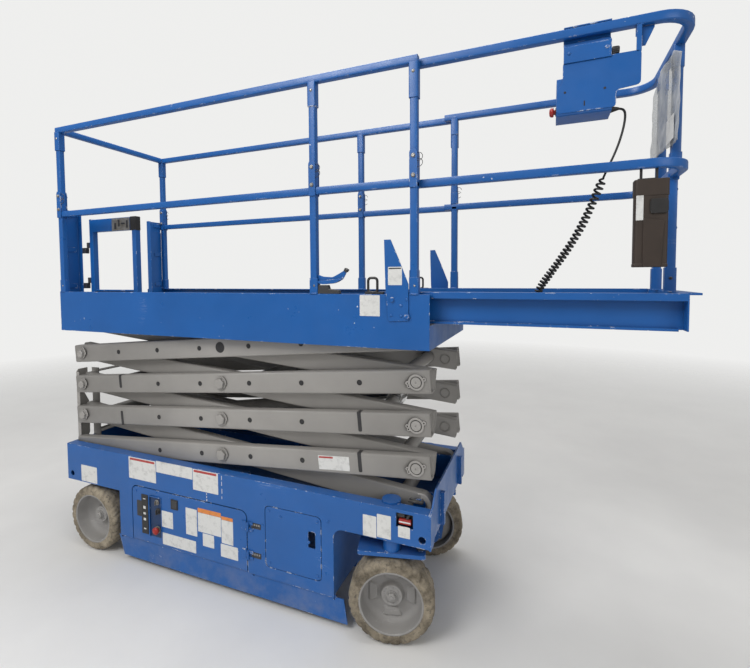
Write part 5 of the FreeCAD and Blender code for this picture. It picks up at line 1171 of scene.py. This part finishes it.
class LIFT_OT_controls(bpy.types.Operator):
    """Make the platform control box, its hanger, stops and lever"""

    bl_idname = "lift.controls"
    bl_label = "Platform controls"

    def execute(self, context):
        outer = -DECK_Y - RAIL / 2
        hook = [(outer - 5, 2378), (outer - 5, 2435), (-328, 2462), (-325.7, 2503.3), (outer, 2503.3), (outer, 2507.8),
                (-321, 2507.8), (-321, 2459), (outer - 0.5, 2432), (outer - 0.5, 2378)]
        brace = [(1842, 2470), (1878, 2470), (1878, 2462), (1852, 2405), (1842, 2405)]
        made("control_hanger_sheet", [plate(hook, 1594, 1747, "x"), block(1740, 1747, outer - 4.5, -336, 2386, 2414),
                                      block(1822, 1838, outer + 0.3, outer + 4, 2380, 2472), plate(brace, -336, -332),
                                      block(1822, 1842, -336, -332, 2440, 2472), block(1822, 1842, outer + 0.3, -332, 2468, 2472)],
             "Blue paint", "deck", ["control_hanger"], bevel=1.0)
        back = eased([(1592, 2385), (1838, 2385), (1838, 2270), (1764, 2262), (1764, 2204), (1572, 2204), (1572, 2290),
                      (1592, 2310)], 14)
        made("control_back_plate", [plate(back, outer + 0.3, outer + 4)], "Blue paint", "deck", ["control_box"], bevel=0.8)
        inside = outer + 3
        case = eased([(inside, 2330), (inside, 2202), (inside + 6, 2196), (inside + 112, 2196), (inside + 112, 2240),
                      (inside + 60, 2330)], 6)
        lid = eased([(inside + 62, 2332), (inside + 116, 2240), (inside + 110, 2236), (inside + 56, 2328)], 2)
        made("control_case", [plate(case, 1572, 1752, "x"), plate(lid, 1580, 1744, "x")], "Blue paint", "deck", bevel=2.5)
        out, along = np.array([0.0, -1.0, 0.0]), (1.0, 0.0, 0.0)
        # Painted shade: black discs stand in for the shaded holes in the back plate.
        hole_shade_disc = facing(revolved([(0.5, 4.2), (-0.1, 4.0), (-0.1, 0)], 14), out)
        marks = [copies(hole_shade_disc, [(1600, outer + 0.2, 2277), (1728, outer + 0.2, 2273)]),
                 block(1662, 1666, outer - 0.2, outer + 0.6, 2221, 2239)]
        stop_base = facing(revolved([(-6, 15), (2, 15), (3, 14), (3, 0)], 24), (-1, 0, 0))
        knob = [(-14, 9), (-9, 12.5), (9, 13), (12, 11), (12, 0)]
        turns = np.arange(14) * 2 * np.pi / 14
        ribs = copies(block(-9, 9, -1.1, 1.1, -1.1, 1.1), np.stack([0 * turns, 12.6 * np.cos(turns), 12.6 * np.sin(turns)], -1))
        tilt = (-0.25, 0.35, 1.0)
        stick = facing(revolved([(-8, 17), (4, 15), (10, 9), (16, 5), (62, 5), (64, 11), (96, 13), (106, 9), (108, 0)], 20), tilt)
        marks += [copies(stop_base, [(1572, -328, 2221)]), copies(revolved(knob, 24), [(1760, -349, 2400)]),
                  copies(ribs, [(1759, -349, 2400)]), copies(stick, [(1690, -278, 2268)])]
        slope = (0.0, 0.87, 0.5)
        cap = facing(revolved([(-2, 10), (4, 10), (6, 8.5), (6, 0)], 20), slope)
        marks += [copies(cap, [(x, -274, 2286) for x in (1610, 1640)])]
        made("control_black_parts", marks, "Black plastic", "deck", sharp=35)
        mushroom = facing(revolved([(2, 9), (9, 9), (10, 16), (13, 17), (20, 16), (24, 11), (25, 0)], 28), (-1, 0, 0))
        made("control_stop", [copies(mushroom, [(1573, -328, 2221)])], "Red plastic", "deck", sharp=50)
        rivet = facing(dome(6, 3), out)
        made("control_rivets", [copies(rivet, [(1612, outer - 5, 2411), (1732, outer - 5, 2412)])], "Blue paint", "deck", sharp=40)
        return {"FINISHED"}


# The cloudy sheet hung inside the two front posts: its plane, its ends along Y and its top and bottom edges as (y, z)
SHEET_X, SHEET_ENDS = 1974.0, (190.0, -272.0)
SHEET_TOP = ((-272, 2390), (-172, 2439), (-61, 2446), (56, 2455), (130, 2420), (190, 2399))
SHEET_LOW = ((-272, 2088), (155, 2118), (190, 2134))


class LIFT_OT_papers(bpy.types.Operator):
    """Make the manual box and the cloudy sheet hung on the front rail"""

    bl_idname = "lift.papers"
    bl_label = "Manual box and sheet"

    def execute(self, context):
        body = [plate(rounded_rectangle(102, 46, 9, 4) + (1881, -319.0), 1640, 1905, "z"),
                plate(rounded_rectangle(106, 50, 10, 4) + (1881, -319.0), 1888, 1946, "z"),
                plate(eased([(1856, 1640), (1912, 1640), (1920, 1800), (1856, 1812)], 8), -347, -340),
                plate(rounded_rectangle(105, 49, 10, 4) + (1881, -319.0), 1640, 1652, "z")]
        made("manual_box_shell", body, "Brown box", "deck", ["manual_box"], bevel=2.5)
        strap = [block(1878, 1928, -349, -340, 1826, 1876), block(1875, 1931, -346, -340, 1834, 1868),
                 block(1840, 1900, -326, -318, 1944, 1952), block(1843, 1852, -340, -338, 1930, 1984),
                 block(1890, 1899, -340, -338, 1930, 1984)]
        made("manual_box_strap", strap, "Black plastic", "deck", bevel=1.5)
        made("manual_box_label", [plate(eased(rectangle(1834, 1856, 1804, 1890), 2), -345, -341.6)], "Blank vinyl", "deck")

        y = np.linspace(*SHEET_ENDS, 73)[None, :]
        v = np.linspace(0, 1, 41)[:, None]
        low, high = (np.interp(y, *np.array(edge, float).T) for edge in (SHEET_LOW, SHEET_TOP))
        z = low + (high - low) * v
        at_post = np.exp(-((np.abs(y) - FRONT_POST_Y) / 24) ** 2)
        ripple = 1.5 * np.sin(y / 23 + 2 * v) + 1.1 * np.sin(v * 9 - y / 37) + 0.8 * np.sin(v * 23 + y / 11) + 2.6
        x = SHEET_X - (1 - at_post) * ripple * (1.5 - 0.7 * v)
        y = np.broadcast_to(y, z.shape)
        sheet = made("front_cover_sheet", [shell(np.stack([x + 0 * z, y, z], -1), cols_wrap=False)], "Cloudy sheet", "deck",
                     ["front_sheet"], wall=1.0, sharp=60)
        made("front_sheet_note", [block(SHEET_X - 9, SHEET_X - 8, -215, -105, 2110, 2200)], "Blank vinyl", "deck")
        return {"FINISHED"}


class LIFT_PT_panel(bpy.types.Panel):
    """Lists the lift's sizes, colours and pieces"""

    bl_idname = "LIFT_PT_panel"
    bl_label = "Scissor lift"
    bl_space_type = "VIEW_3D"
    bl_region_type = "UI"
    bl_category = "Scissor lift"

    def draw(self, context):
        for settings in (context.scene.lift_sizes, context.scene.lift_colours):
            for key in settings.bl_rna.properties.keys():
                if key not in ("rna_type", "name"):
                    self.layout.prop(settings, key)
        for operator in OPERATORS:
            self.layout.operator(operator.bl_idname)


OPERATORS = (LIFT_OT_finishes, LIFT_OT_stage, LIFT_OT_control_lead, LIFT_OT_wheels, LIFT_OT_scissor_arms,
             LIFT_OT_guard_rails, LIFT_OT_deck_rails, LIFT_OT_chassis_details, LIFT_OT_platform_fittings,
             LIFT_OT_controls, LIFT_OT_papers)
CLASSES = (LiftSizes, LiftColours, *OPERATORS, LIFT_PT_panel)


def register():
    for cls in CLASSES:
        bpy.utils.register_class(cls)
    bpy.types.Scene.lift_sizes = bpy.props.PointerProperty(type=LiftSizes)
    bpy.types.Scene.lift_colours = bpy.props.PointerProperty(type=LiftColours)


def unregister():
    del bpy.types.Scene.lift_colours
    del bpy.types.Scene.lift_sizes
    for cls in reversed(CLASSES):
        bpy.utils.unregister_class(cls)


def main():
    """Register the add-on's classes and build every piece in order."""
    register()
    for operator in OPERATORS:
        family, action = operator.bl_idname.split(".")
        getattr(getattr(bpy.ops, family), action)()
    bpy.context.view_layer.update()


if __name__ == "__main__":
    main()
